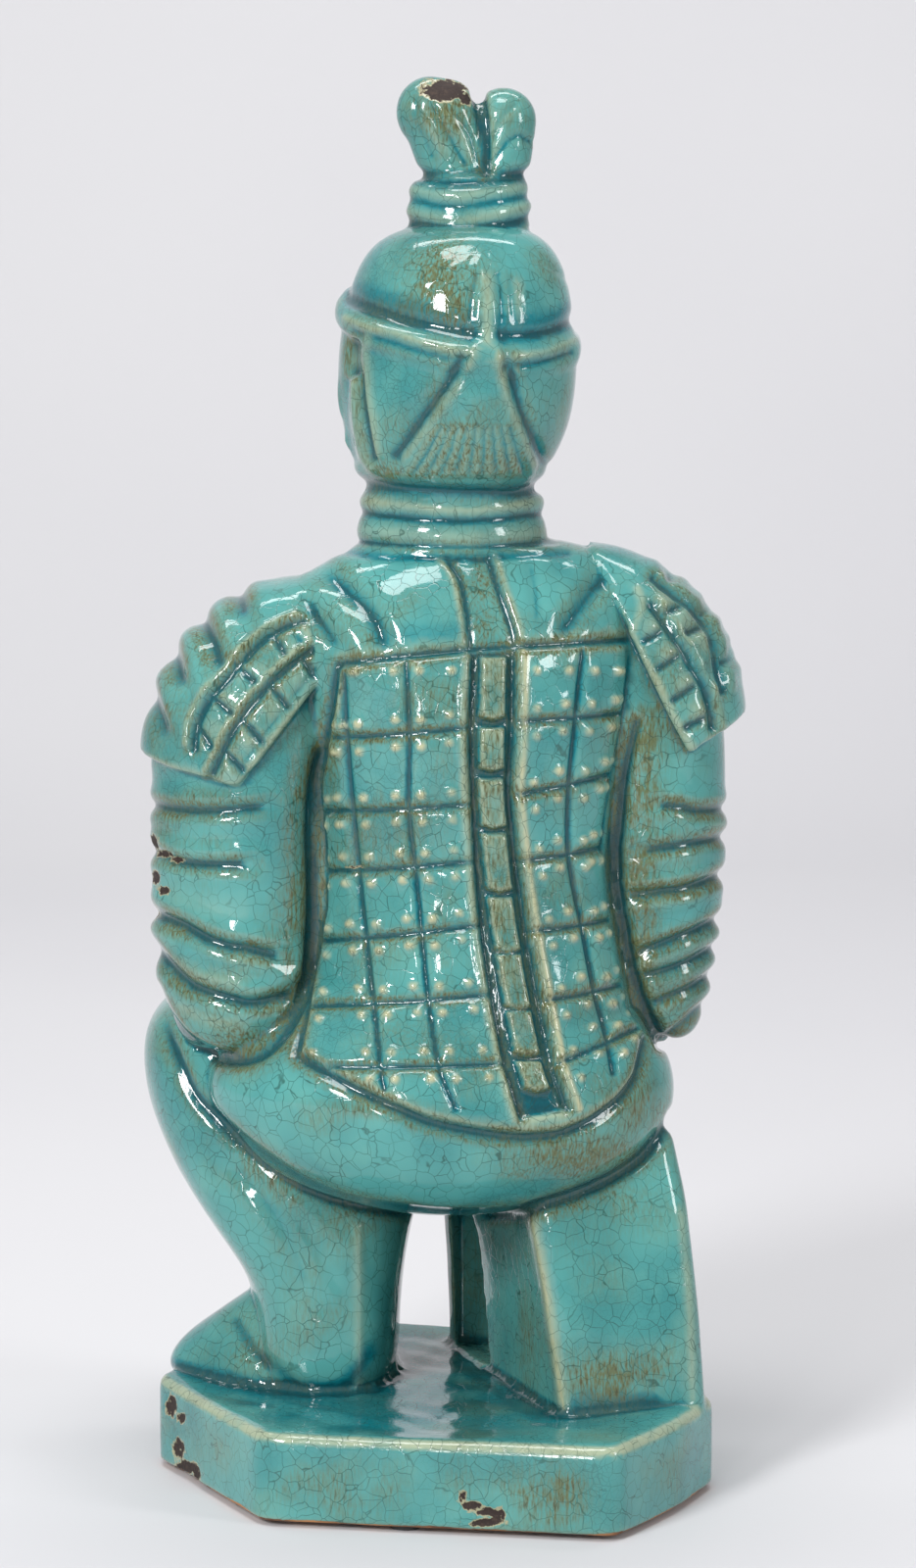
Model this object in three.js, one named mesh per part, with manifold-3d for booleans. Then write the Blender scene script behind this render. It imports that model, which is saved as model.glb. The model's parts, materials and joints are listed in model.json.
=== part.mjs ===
// Slip-cast figurine of a kneeling dignitary in plate armour, on a six-sided plinth with three rubber pads.
// Millimetres, +Z up, origin at the bottom centre; the plinth faces -Y and the upper body turns to its left.
import * as THREE from 'three';
import { mergeVertices } from 'three/addons/utils/BufferGeometryUtils.js';
import Module from 'manifold-3d';

const manifoldKit = await Module();
manifoldKit.setup();

// Overall
const TOTAL_HEIGHT = 450;
const BODY_TURN = THREE.MathUtils.degToRad(13);

// Plinth
const BASE_WIDTH = 182;
const BASE_DEPTH = 184;
const BASE_TOP = 30;
const BASE_ROUND = 2.5;
const BASE_CORNER = 6;

// Rubber pads under the plinth
const PAD_DIAMETER = 10.6;
const PAD_FOOT_DIAMETER = 9;
const PAD_HEIGHT = 2;
const GLUE_GAP = 0.3;
const PAD_REAR = [0.09, 0.785];
const PAD_FRONT_LEFT = [0.53, -0.715];
const PAD_FRONT_RIGHT = [-0.53, -0.54];

// Topknot: how deep its foot sits in the hair, below the top of the skull
const KNOT_SINK = 18;

// Armour
const ARMOUR_THICK = 3;
const GROOVE = 2.4;
const SPINE_HALF = 7;
const TAB_WIDTH = 10;
const TAB_PITCH = 17.5;
const TAB_COUNT = 8;
const TAB_FIRST = 261;
const ARMOUR_TOP = 270;
const COLUMN_STEP = 19.5;
const LEFT_ROWS = [246, 223, 204, 182, 161, 141];
const RIGHT_ROWS = [250, 228, 207, 185, 164, 146];

// Folds
const FOLD_DEPTH = 2.2;

// Vent arch in the inner wall of the kneeling leg
const VENT_WIDTH = 30;
const VENT_TOP = 84;
const VENT_FLOOR = 31;
const VENT_DEPTH = 24;

// A closed manifold body from any three.js geometry, its faces turned outward.
function solid(geometry) {
  const bare = new THREE.BufferGeometry();
  bare.setAttribute('position', geometry.getAttribute('position').clone());
  if (geometry.index) {
    bare.setIndex(geometry.index.clone());
  }
  const merged = mergeVertices(bare, 1e-4);
  const place = merged.getAttribute('position');
  const corners = [];
  let volume = 0;
  for (let i = 0; i < merged.index.count; i += 3) {
    const triangle = [0, 1, 2].map((k) => merged.index.getX(i + k));
    if (new Set(triangle).size === 3) {
      corners.push(triangle);
      const [a, b, c] = triangle.map((v) => new THREE.Vector3().fromBufferAttribute(place, v));
      volume += a.dot(b.cross(c));
    }
  }
  const outward = volume < 0 ? corners.map(([a, b, c]) => [a, c, b]) : corners;
  return new manifoldKit.Manifold(new manifoldKit.Mesh({
    numProp: 3,
    vertProperties: new Float32Array(place.array),
    triVerts: new Uint32Array(outward.flat()),
  }));
}

function joinAll(bodies) {
  return bodies.reduce((whole, body) => whole.add(body));
}

// Skins a stack of equal rings and closes both ends.
function skin(rings) {
  const count = rings[0].length;
  const positions = rings.flat().flatMap((point) => point.toArray());
  const index = [];
  for (let level = 0; level < rings.length - 1; level += 1) {
    for (let i = 0; i < count; i += 1) {
      const j = (i + 1) % count;
      const low = level * count;
      const high = low + count;
      index.push(low + i, low + j, high + j, low + i, high + j, high + i);
    }
  }
  const ends = [[rings[0], 0, true], [rings.at(-1), (rings.length - 1) * count, false]];
  for (const [ring, start, flip] of ends) {
    const centre = ring.reduce((sum, point) => sum.add(point), new THREE.Vector3()).divideScalar(count);
    const hub = positions.length / 3;
    positions.push(...centre.toArray());
    for (let i = 0; i < count; i += 1) {
      const j = (i + 1) % count;
      index.push(hub, start + (flip ? j : i), start + (flip ? i : j));
    }
  }
  const geometry = new THREE.BufferGeometry();
  geometry.setAttribute('position', new THREE.Float32BufferAttribute(positions, 3));
  geometry.setIndex(index);
  return geometry;
}

// One horizontal ring: an oval of full width w and depth d; power above 2 squares it off.
function oval({ z, x, y, w, d, turn = 0, power = 2 }, count) {
  const points = [];
  for (let i = 0; i < count; i += 1) {
    const angle = (i / count) * 2 * Math.PI;
    const across = Math.sign(Math.cos(angle)) * Math.abs(Math.cos(angle)) ** (2 / power);
    const along = Math.sign(Math.sin(angle)) * Math.abs(Math.sin(angle)) ** (2 / power);
    points.push(new THREE.Vector3((across * w) / 2, (along * d) / 2, 0)
      .applyAxisAngle(new THREE.Vector3(0, 0, 1), turn)
      .add(new THREE.Vector3(x, y, z)));
  }
  return points;
}

// Upright body through a list of levels, with the levels between them eased by a smooth curve.
function tower(levels, count, steps, grow = 0) {
  const keys = ['z', 'x', 'y', 'w', 'd', 'turn', 'power'];
  const full = levels.map((level) => ({ turn: 0, power: 2, ...level }));
  const rings = [];
  for (let i = 0; i < full.length - 1; i += 1) {
    const around = [full[Math.max(i - 1, 0)], full[i], full[i + 1], full[Math.min(i + 2, full.length - 1)]];
    for (let step = 0; step < steps; step += 1) {
      rings.push(between(keys, around, step / steps));
    }
  }
  rings.push(full.at(-1));
  return skin(rings.map((ring) => oval({ ...ring, w: ring.w + 2 * grow, d: ring.d + 2 * grow }, count)));
}

function between(keys, [before, from, to, after], t) {
  const ring = {};
  for (const key of keys) {
    const start = (to[key] - before[key]) / 2;
    const end = (after[key] - from[key]) / 2;
    const [t2, t3] = [t * t, t * t * t];
    ring[key] = from[key] * (2 * t3 - 3 * t2 + 1) + start * (t3 - 2 * t2 + t)
      + to[key] * (3 * t2 - 2 * t3) + end * (t3 - t2);
  }
  ring.z = from.z + (to.z - from.z) * t;
  return ring;
}

// Body swept along a path of stations [x, y, z, radius], with rounded ends.
function limb(stations, count, steps) {
  const path = new THREE.CatmullRomCurve3(stations.map(([x, y, z]) => new THREE.Vector3(x, y, z)));
  const spans = (stations.length - 1) * steps;
  const rings = [];
  const place = (t, radius, shift) => {
    const tangent = path.getTangent(t);
    const centre = path.getPoint(t).addScaledVector(tangent, shift);
    const side = new THREE.Vector3(0, 0, 1).cross(tangent);
    if (side.length() < 0.2) {
      side.set(1, 0, 0);
    }
    side.normalize();
    const up = tangent.clone().cross(side).normalize();
    rings.push(Array.from({ length: count }, (_, i) => {
      const angle = (i / count) * 2 * Math.PI;
      return centre.clone()
        .addScaledVector(side, Math.cos(angle) * radius)
        .addScaledVector(up, Math.sin(angle) * radius);
    }));
  };
  const first = stations[0][3];
  const last = stations.at(-1)[3];
  for (const angle of [22, 55]) {
    const lift = THREE.MathUtils.degToRad(angle);
    place(0, first * Math.sin(lift), -first * Math.cos(lift));
  }
  for (let i = 0; i <= spans; i += 1) {
    const at = (i / spans) * (stations.length - 1);
    const low = Math.min(Math.floor(at), stations.length - 2);
    const radius = THREE.MathUtils.lerp(stations[low][3], stations[low + 1][3], at - low);
    place(i / spans, radius, 0);
  }
  for (const angle of [55, 22]) {
    const lift = THREE.MathUtils.degToRad(angle);
    place(1, last * Math.sin(lift), last * Math.cos(lift));
  }
  return skin(rings);
}

// Ellipsoid with its centre and full sizes.
function ball(x, y, z, w, d, h, turn = 0, around = 20, rows = 12) {
  return new THREE.SphereGeometry(0.5, around, rows)
    .rotateX(Math.PI / 2)
    .scale(w, d, h)
    .rotateZ(turn)
    .translate(x, y, z);
}

// Upright outline [x, z] pushed through the figure along Y.
function prism(outline, fromY, toY) {
  const shape = new THREE.Shape(outline.map(([x, z]) => new THREE.Vector2(x, z)));
  return new THREE.ExtrudeGeometry(shape, { depth: toY - fromY, bevelEnabled: false })
    .rotateX(Math.PI / 2)
    .translate(0, toY, 0);
}

// Outline of a stroke of constant width along [x, z] points.
function stroke(points, width) {
  const line = points.map(([x, z]) => new THREE.Vector2(x, z));
  const sides = [1, -1].map((sign) => line.map((point, i) => {
    const ahead = line[Math.min(i + 1, line.length - 1)];
    const behind = line[Math.max(i - 1, 0)];
    const along = ahead.clone().sub(behind).normalize();
    const across = new THREE.Vector2(-along.y, along.x).multiplyScalar((sign * width) / 2);
    return point.clone().add(across).toArray();
  }));
  return [...sides[0], ...sides[1].reverse()];
}

// Turns a shape made straight on to the way that the upper body looks.
function turned(geometry, x, y) {
  return geometry.rotateZ(BODY_TURN).translate(x, y, 0);
}

// Plinth: a skewed hexagon with rounded upright corners, one of its rear corners worn to two.
const padClear = PAD_HEIGHT + GLUE_GAP;
const BASE_PLAN = [
  [1, -0.05], [0.59, 0.79], [-0.63, 1], [-0.87, 0.59], [-1, 0.27], [-0.58, -0.74], [0.63, -1],
];

// A place on the plinth from its shares of the half width and half depth.
function onBase([across, along]) {
  return new THREE.Vector2((across * BASE_WIDTH) / 2, (along * BASE_DEPTH) / 2);
}

function plinth() {
  const corners = BASE_PLAN.map(onBase);
  const shape = new THREE.Shape();
  corners.forEach((corner, i) => {
    const before = corners.at(i - 1);
    const after = corners[(i + 1) % corners.length];
    const enter = corner.clone().add(before.clone().sub(corner).setLength(BASE_CORNER));
    const leave = corner.clone().add(after.clone().sub(corner).setLength(BASE_CORNER));
    if (i === 0) {
      shape.moveTo(enter.x, enter.y);
    } else {
      shape.lineTo(enter.x, enter.y);
    }
    shape.quadraticCurveTo(corner.x, corner.y, leave.x, leave.y);
  });
  shape.closePath();
  const height = BASE_TOP - padClear;
  return new THREE.ExtrudeGeometry(shape, {
    depth: height - 2 * BASE_ROUND,
    bevelThickness: BASE_ROUND,
    bevelSize: BASE_ROUND,
    bevelOffset: -BASE_ROUND,
    bevelSegments: 1,
    curveSegments: 2,
  }).translate(0, 0, padClear + BASE_ROUND);
}

// Standing leg: boot, trouser leg flaring up into the raised knee, and the foot turned outward.
function standingLeg() {
  const trouser = tower([
    { z: 22, x: 36, y: -26, w: 46, d: 90, power: 3.2 },
    { z: 44, x: 35, y: -26, w: 45, d: 88, power: 3.2 },
    { z: 60, x: 35, y: -27, w: 47, d: 88, power: 3.1 },
    { z: 74, x: 39, y: -30, w: 59, d: 92, power: 2.8 },
    { z: 90, x: 43, y: -34, w: 74, d: 98, power: 2.6 },
    { z: 110, x: 48, y: -37, w: 83, d: 98, power: 2.5 },
    { z: 130, x: 51, y: -38, w: 87, d: 94, power: 2.4 },
    { z: 146, x: 51, y: -38, w: 82, d: 84, power: 2.3 },
    { z: 156, x: 49, y: -36, w: 62, d: 62, power: 2.2 },
    { z: 160, x: 47, y: -35, w: 30, d: 30 },
  ], 14, 1);
  const foot = tower([
    { z: 22, x: 48, y: -20, w: 76, d: 58, turn: -0.5, power: 2.6 },
    { z: 33, x: 48, y: -20, w: 76, d: 58, turn: -0.5, power: 2.6 },
    { z: 42, x: 46, y: -18, w: 66, d: 52, turn: -0.5, power: 2.4 },
    { z: 52, x: 42, y: -16, w: 48, d: 44, turn: -0.5, power: 2.3 },
    { z: 60, x: 39, y: -16, w: 30, d: 34, turn: -0.5, power: 2.2 },
  ], 14, 1);
  return [trouser, foot];
}

// Kneeling leg: a slab with a flat back, its inner wall slanting forward to the middle and its front
// sloping back from the knee to the lap.
function kneelingLeg() {
  const low = [[-42, 50], [-88, 37], [-84, -12], [-62, -50], [-26, -68], [-4, -60]];
  const high = [[-25, 38], [-75, 20], [-74, -10], [-64, -34], [-20, -50], [3, -46]];
  const levels = [[22, 0, 0], [60, 0.2, 0.2], [95, 0.52, 0.6], [122, 1, 1]];
  return skin(levels.map(([z, lean, slope]) => roundedLoop(low.map(([x, y], i) => new THREE.Vector3(
    THREE.MathUtils.lerp(x, high[i][0], lean),
    THREE.MathUtils.lerp(y, high[i][1], i < 3 ? lean : slope),
    z,
  )), 0.14)));
}

// Cuts each corner of a loop into a short curve.
function roundedLoop(corners, share) {
  return corners.flatMap((corner, i) => {
    const before = corners.at(i - 1);
    const after = corners[(i + 1) % corners.length];
    const enter = corner.clone().lerp(before, share);
    const leave = corner.clone().lerp(after, share);
    const middle = enter.clone().add(leave).divideScalar(2).lerp(corner, 0.5);
    return [enter, middle, leave];
  });
}

const TORSO_SIDES = 16;

// Torso levels, shared by the body and by the armour that covers it.
const TORSO = [
  { z: 112, x: -8, y: 6, w: 104, d: 92 },
  { z: 130, x: -10, y: 7, w: 112, d: 100 },
  { z: 150, x: -11, y: 6, w: 108, d: 98 },
  { z: 175, x: -11, y: 4, w: 98, d: 90 },
  { z: 205, x: -10, y: 3, w: 92, d: 86 },
  { z: 235, x: -10, y: 3, w: 104, d: 92 },
  { z: 260, x: -9, y: 2, w: 122, d: 92 },
  { z: 276, x: -9, y: 1, w: 128, d: 86 },
  { z: 290, x: -11, y: 0, w: 120, d: 74 },
  { z: 299, x: -12, y: 0, w: 88, d: 61 },
  { z: 306, x: -8, y: 0, w: 56, d: 53 },
].map((level) => ({ ...level, turn: BODY_TURN, power: 2.3 }));

// Robe over the hips: a wide cushion, squarer below, with a full lower edge.
function robe() {
  return tower([
    { z: 89, x: -8, y: 8, w: 44, d: 42 },
    { z: 93, x: -7, y: 8, w: 88, d: 76 },
    { z: 103, x: -6, y: 8, w: 124, d: 104 },
    { z: 120, x: -4, y: 7, w: 150, d: 117 },
    { z: 137, x: 0, y: 7, w: 155, d: 118 },
    { z: 150, x: 4, y: 6, w: 147, d: 110 },
    { z: 162, x: 8, y: 5, w: 126, d: 94 },
    { z: 172, x: 8, y: 4, w: 84, d: 66 },
  ].map((level) => ({ ...level, turn: BODY_TURN / 2, power: 2.1 })), 18, 1);
}

// X of the spine line at a height: straight between the shoulders, drifting to the right below the waist.
function spineAt(z) {
  const below = Math.max(0, 225 - z);
  return -18.5 - 0.0016 * below * below;
}

function spineOffset(points) {
  return points.map(([offset, z]) => [spineAt(z) + offset, z]);
}

// Armour shell: the torso grown outward, trimmed to its outline and cut into plates.
function backArmour() {
  const shell = solid(tower(TORSO, TORSO_SIDES, 1, ARMOUR_THICK));
  const outline = [[41, 147], [28, 138], [5, 128], [-12, 123], [-27, 121], [-43, 126], [-56, 134], [-66, 152],
    [-80, 190], [-80, ARMOUR_TOP + 5], [-19, ARMOUR_TOP + 1], [70, ARMOUR_TOP - 2], [60, 190]];
  const heights = [ARMOUR_TOP + 8, 222, 185, 150, 116];
  const lines = [-2, -1, 1, 2].map((column) => {
    const spread = column * COLUMN_STEP + Math.sign(column) * SPINE_HALF;
    return stroke(spineOffset(heights.map((z) => [spread, z])), GROOVE);
  });
  const leftRows = LEFT_ROWS.map((z) => stroke(
    [[spineAt(z) + SPINE_HALF, z + 2], [10, z], [80, z - 1]],
    GROOVE,
  ));
  const rightRows = RIGHT_ROWS.map((z) => stroke(
    [[spineAt(z) - SPINE_HALF, z - 1], [-50, z + 2], [-90, z + 10]],
    GROOVE,
  ));
  const channel = stroke(spineOffset(heights.map((z) => [0, z])), 2 * SPINE_HALF);
  const cuts = [...lines, ...leftRows, ...rightRows, channel].map((shape) => solid(prism(shape, 5, 90)));
  return shell.intersect(solid(prism(outline, 4, 90))).subtract(joinAll(cuts));
}

function spineTabs() {
  const shell = solid(tower(TORSO, TORSO_SIDES, 1, ARMOUR_THICK - 0.8));
  const tabs = Array.from({ length: TAB_COUNT }, (_, i) => {
    const z = TAB_FIRST - i * TAB_PITCH;
    const half = (TAB_PITCH - GROOVE) / 2;
    const run = [[spineAt(z + half), z + half], [spineAt(z - half), z - half]];
    return solid(prism(stroke(run, TAB_WIDTH), 5, 90));
  });
  return shell.intersect(joinAll(tabs));
}

// Front of the armour: a plain chest piece with fewer, larger plates.
function chestArmour() {
  const shell = solid(tower(TORSO, TORSO_SIDES, 1, ARMOUR_THICK));
  const outline = [[52, 150], [20, 138], [-20, 138], [-66, 150], [-80, 190], [-80, 262], [70, 262],
    [60, 190]];
  const columns = [-26, 12].map((x) => stroke([[x, 270], [x, 130]], GROOVE));
  const rows = [232, 192].map((z) => stroke([[-90, z], [90, z]], GROOVE));
  const cuts = [...columns, ...rows].map((shape) => solid(prism(shape, -90, -4)));
  return shell.intersect(solid(prism(outline, -90, 5))).subtract(joinAll(cuts));
}

// Sleeved arm from the shoulder down to a rounded elbow.
function upperArm(side, grow = 0) {
  const levels = side > 0 ? [
    { z: 137, x: 67, y: 4, w: 8, d: 12 },
    { z: 141, x: 65, y: 5, w: 32, d: 34 },
    { z: 150, x: 64, y: 5, w: 45, d: 48 },
    { z: 166, x: 62, y: 5, w: 54, d: 58 },
    { z: 190, x: 61, y: 6, w: 58, d: 62 },
    { z: 225, x: 62, y: 7, w: 56, d: 64 },
    { z: 255, x: 57, y: 6, w: 60, d: 62 },
    { z: 276, x: 48, y: 4, w: 52, d: 52 },
    { z: 288, x: 40, y: 2, w: 34, d: 38 },
  ] : [
    { z: 138, x: -76, y: -16, w: 8, d: 12 },
    { z: 142, x: -73, y: -16, w: 24, d: 34 },
    { z: 152, x: -69, y: -16, w: 38, d: 48 },
    { z: 168, x: -67, y: -15, w: 46, d: 56 },
    { z: 190, x: -67, y: -14, w: 52, d: 60 },
    { z: 225, x: -67, y: -13, w: 54, d: 62 },
    { z: 255, x: -64, y: -11, w: 58, d: 60 },
    { z: 278, x: -57, y: -9, w: 50, d: 50 },
    { z: 292, x: -48, y: -7, w: 34, d: 38 },
  ];
  return tower(levels.map((level) => ({ ...level, turn: BODY_TURN, power: 2.2 })), 12, 1, grow);
}

// Forearms reach across the belly to two fists held one above the other by the right hip.
function forearms() {
  return [
    limb([[62, -4, 162, 23], [44, -34, 165, 22], [16, -58, 172, 17], [-14, -66, 180, 13]], 10, 1),
    ball(34, -14, 174, 34, 36, 30, 0, 10, 6),
    limb([[-68, -18, 160, 22], [-70, -40, 158, 19], [-58, -58, 160, 15], [-46, -65, 164, 12]], 10, 1),
  ];
}

function fists() {
  const fist = (x, y, z, turn) => [
    ball(x, y, z, 24, 22, 26, turn, 10, 6),
    ...[-7.5, -2.5, 2.5, 7.5].map((rise) => ball(x - 3, y - 6, z + rise, 20, 13, 6.6, turn, 5, 3)),
  ];
  return [...fist(-26, -66, 184, 0.25), ...fist(-38, -66, 162, 0.25)];
}

// Shoulder guard: a cap over the arm cut to a slanting lower edge, with lobes outside and
// notched bands inside.
function shoulderGuard(side) {
  const levels = side > 0 ? [
    { z: 222, x: 62, y: 6, w: 60, d: 69 },
    { z: 240, x: 60, y: 6, w: 62, d: 73 },
    { z: 256, x: 57, y: 5, w: 62, d: 72 },
    { z: 270, x: 51, y: 4, w: 60, d: 66 },
    { z: 282, x: 43, y: 3, w: 53, d: 56 },
    { z: 292, x: 34, y: 2, w: 36, d: 40 },
  ] : [
    { z: 228, x: -68, y: -13, w: 59, d: 68 },
    { z: 244, x: -67, y: -12, w: 62, d: 70 },
    { z: 260, x: -65, y: -11, w: 64, d: 68 },
    { z: 274, x: -61, y: -10, w: 63, d: 64 },
    { z: 288, x: -55, y: -9, w: 55, d: 54 },
    { z: 302, x: -42, y: -8, w: 32, d: 34 },
  ];
  const cap = solid(tower(levels.map((level) => ({ ...level, turn: BODY_TURN, power: 2.2 })), 14, 1, 1.8));
  const edge = side > 0
    ? [[44, 310], [40, 282], [31, 268], [45, 250], [52, 239], [59, 229], [64, 226], [72, 229], [120, 236],
      [120, 310]]
    : [[-60, 310], [-63, 290], [-65, 273], [-72, 256], [-82, 238], [-87, 236], [-94, 239], [-130, 246],
      [-130, 310]];
  const rear = solid(prism(edge, -100, 100));
  const bands = side > 0 ? [
    [[44, 282], [56, 275], [64, 266], [73, 256], [76, 242]],
    [[38, 274], [52, 263], [60, 254], [65, 245], [71, 230]],
  ] : [
    [[-63, 290], [-70, 281], [-80, 268], [-87, 256], [-90, 242]],
    [[-64, 278], [-72, 264], [-79, 252], [-85, 238]],
  ];
  const lobes = side > 0
    ? [[[58, 292], [63, 276]], [[76, 284], [70, 264]], [[88, 274], [79, 256]], [[98, 260], [84, 242]]]
    : [[[-76, 298], [-82, 280]], [[-90, 286], [-91, 268]], [[-100, 268], [-96, 250]]];
  const cuts = [...bands, ...lobes].map((line) => solid(prism(stroke(line, GROOVE), -8, 100)));
  return cap.intersect(rear).subtract(joinAll(cuts));
}

// Neck scarf: stacked soft rings.
function scarf() {
  const profile = [[0, 296], [33, 297], [30, 304], [30.4, 307], [27.8, 309.5], [29.8, 312.5], [27.6, 316],
    [26, 321], [0, 322]];
  const outline = profile.map(([r, z]) => new THREE.Vector2(r, z));
  const rings = new THREE.LatheGeometry(outline, 16).rotateX(Math.PI / 2);
  return turned(rings.scale(1, 0.98, 1), -6, 0);
}

// Head with hair gathered up over the back of the skull.
const HEAD = { x: -8, y: 0, z: 356 };

const SKULL = [
  { z: 314, x: -5.5, y: 0, w: 52, d: 56 },
  { z: 323, x: -5.5, y: -1, w: 57, d: 70 },
  { z: 333, x: -6, y: -1, w: 66, d: 82 },
  { z: 348, x: -7.5, y: -1, w: 73, d: 89 },
  { z: 366, x: -8, y: 0, w: 74, d: 90 },
  { z: 386, x: -8.5, y: 1, w: 67, d: 79 },
  { z: 396, x: -9, y: 2, w: 56, d: 63 },
  { z: 403, x: -10, y: 3, w: 36, d: 40 },
  { z: 406, x: -10, y: 3, w: 14, d: 16 },
];
const KNOT_FOOT = SKULL[SKULL.length - 1].z - KNOT_SINK;

function skull() {
  return tower(SKULL.map((level) => ({ ...level, turn: BODY_TURN })), 18, 1);
}

// Hair band around the skull, dipping at the back.
function hairBand() {
  const loop = Array.from({ length: 16 }, (_, i) => {
    const angle = (i / 16) * 2 * Math.PI;
    const dip = 5 * Math.max(0, Math.sin(angle)) ** 2;
    return new THREE.Vector3(35.5 * Math.cos(angle), 43.5 * Math.sin(angle), 371 - dip);
  });
  const path = new THREE.CatmullRomCurve3(loop, true);
  return turned(new THREE.TubeGeometry(path, 16, 3.2, 4, true), HEAD.x, HEAD.y);
}

// Grooves combed into the hair on both sides of the raised centre ridge.
function hairGrooves() {
  const lines = [
    [[-20.5, 396], [-20.5, 372]],
    [[-14, 396], [-14, 372]],
    [[-12, 366], [-2, 346], [18, 326]],
    [[-23, 366], [-34, 338]],
    [[28, 366], [20, 322]],
  ];
  const rear = lines.map((line) => solid(prism(stroke(line, 2), 4, 80)));
  const inner = solid(skull()
    .translate(-HEAD.x, -HEAD.y, -HEAD.z)
    .scale(0.95, 0.95, 0.98)
    .translate(HEAD.x, HEAD.y, HEAD.z));
  return joinAll(rear).subtract(inner);
}

// Face made straight on, looking along -Y, then turned with the body.
function face() {
  const brow = [[23, -38, 357, 2.2], [12, -46, 361, 2.6], [0, -47.5, 357, 2.4], [-12, -46, 361, 2.6],
    [-23, -38, 357, 2.2]];
  const parts = [
    ball(0, -32, 344, 54, 32, 62, 0, 12, 7),
    ball(13, -43, 353, 15, 10, 7, 0, 7, 5),
    ball(-13, -43, 353, 15, 10, 7, 0, 7, 5),
    limb(brow, 5, 1),
    limb([[0, -45, 358, 3.2], [0, -51, 341, 5]], 7, 1),
    ball(0, -45, 331, 18, 9, 5, 0, 7, 5),
    ball(0, -44, 326.5, 14, 9, 5, 0, 7, 5),
  ];
  return parts.map((part) => turned(part, HEAD.x, HEAD.y));
}

function ears() {
  const ear = (side) => [ball(side * 33.6, -5, 349, 7, 14, 28, side * 0.3, 8, 6)];
  return [...ear(1), ...ear(-1)].map((part) => turned(part, HEAD.x, HEAD.y));
}

// Topknot: a bound collar of three bands with two loops of hair above it.
function topknot() {
  const profile = [[0, 0], [18, 2], [20, 10], [17.6, 15], [19.4, 19.5], [17.4, 23], [18.8, 28], [15, 33],
    [0, 34]];
  const collar = new THREE.LatheGeometry(profile.map(([r, z]) => new THREE.Vector2(r, KNOT_FOOT + z)), 14)
    .rotateX(Math.PI / 2);
  const rise = (lift) => KNOT_FOOT + lift;
  const left = limb([[-9, 0, rise(26), 10.5], [-6, 0, rise(37), 12], [-2, 0, rise(49.2), 12.8]], 12, 1);
  const right = limb([[-18.5, 1, rise(26), 9.8], [-21, 1, rise(37), 10.2], [-22.4, 1, rise(48), 10.4]],
    10, 1);
  return [turned(collar.scale(1, 0.94, 1), -11.5, 1), left, right];
}

// Folds of the sleeves, cut to an even depth across the back of each arm.
function sleeveFolds() {
  const left = [[[96, 222], [60, 222]], [[96, 206], [58, 203]], [[96, 189], [44, 176]],
    [[96, 174], [46, 159]], [[90, 158], [58, 147]]];
  const right = [0, 1, 2, 3].map((i) => [[-98, 224 - 17 * i], [-56, 219 - 18 * i]]);
  const arms = { left: solid(upperArm(1, -FOLD_DEPTH)), right: solid(upperArm(-1, -FOLD_DEPTH)) };
  const fold = (arm) => (line) => solid(prism(stroke(line, 3), -8, 60)).subtract(arm);
  return joinAll([...left.map(fold(arms.left)), ...right.map(fold(arms.right))]);
}

// Folds of the yoke and the edges of its middle flap.
function yokeFolds() {
  const cut = (points, width) => solid(prism(stroke(points, width), 10, 80));
  const deep = solid(tower(TORSO, TORSO_SIDES, 1, -FOLD_DEPTH));
  return joinAll([
    cut([[37, 296], [26, 286], [16, 272]], 3),
    cut([[-57, 296], [-41, 277]], 3),
    cut([[-4, 300], [-12, 272]], 2.2),
    cut([[-17, 300], [-26, 273]], 2.2),
  ]).subtract(deep);
}

// Blind arched vent through the inner wall of the kneeling leg.
function vent() {
  const arch = new THREE.Shape();
  const half = VENT_WIDTH / 2;
  arch.moveTo(-half, VENT_FLOOR);
  arch.lineTo(half, VENT_FLOOR);
  arch.lineTo(half, VENT_TOP - half);
  arch.absarc(0, VENT_TOP - half, half, 0, Math.PI, false);
  arch.closePath();
  return new THREE.ExtrudeGeometry(arch, { depth: VENT_DEPTH, bevelEnabled: false, curveSegments: 7 })
    .rotateX(Math.PI / 2)
    .rotateZ(-1.19)
    .translate(-6, -30, 0);
}

function figurine() {
  const trunk = tower(TORSO, TORSO_SIDES, 1);
  const limbs = [...standingLeg(), kneelingLeg(), robe(), trunk, upperArm(1), upperArm(-1)];
  const front = [...forearms(), ...fists(), scarf()];
  const head = [skull(), hairBand(), ...face(), ...ears(), ...topknot()];
  const flesh = joinAll([...limbs, ...front].map(solid)).subtract(sleeveFolds()).subtract(yokeFolds());
  const crown = joinAll(head.map(solid)).subtract(hairGrooves());
  const armour = joinAll([backArmour(), spineTabs(), chestArmour(), shoulderGuard(1), shoulderGuard(-1)]);
  return joinAll([solid(plinth()), flesh, armour, crown]).subtract(solid(vent()));
}

// Pads: shallow truncated domes glued under the plinth.
function pad(share) {
  const { x, y } = onBase(share);
  return new THREE.CylinderGeometry(PAD_DIAMETER / 2, PAD_FOOT_DIAMETER / 2, PAD_HEIGHT, 20)
    .rotateX(Math.PI / 2)
    .translate(x, y, PAD_HEIGHT / 2);
}

function toGeometry(body) {
  const mesh = body.getMesh();
  const geometry = new THREE.BufferGeometry();
  geometry.setAttribute('position', new THREE.Float32BufferAttribute(mesh.vertProperties, 3));
  geometry.setIndex(Array.from(mesh.triVerts));
  return geometry;
}

function named(name, geometry, colour, roughness) {
  geometry.computeVertexNormals();
  const mesh = new THREE.Mesh(geometry, new THREE.MeshStandardMaterial({ color: colour, roughness }));
  mesh.name = name;
  mesh.material.name = name;
  return mesh;
}

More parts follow.
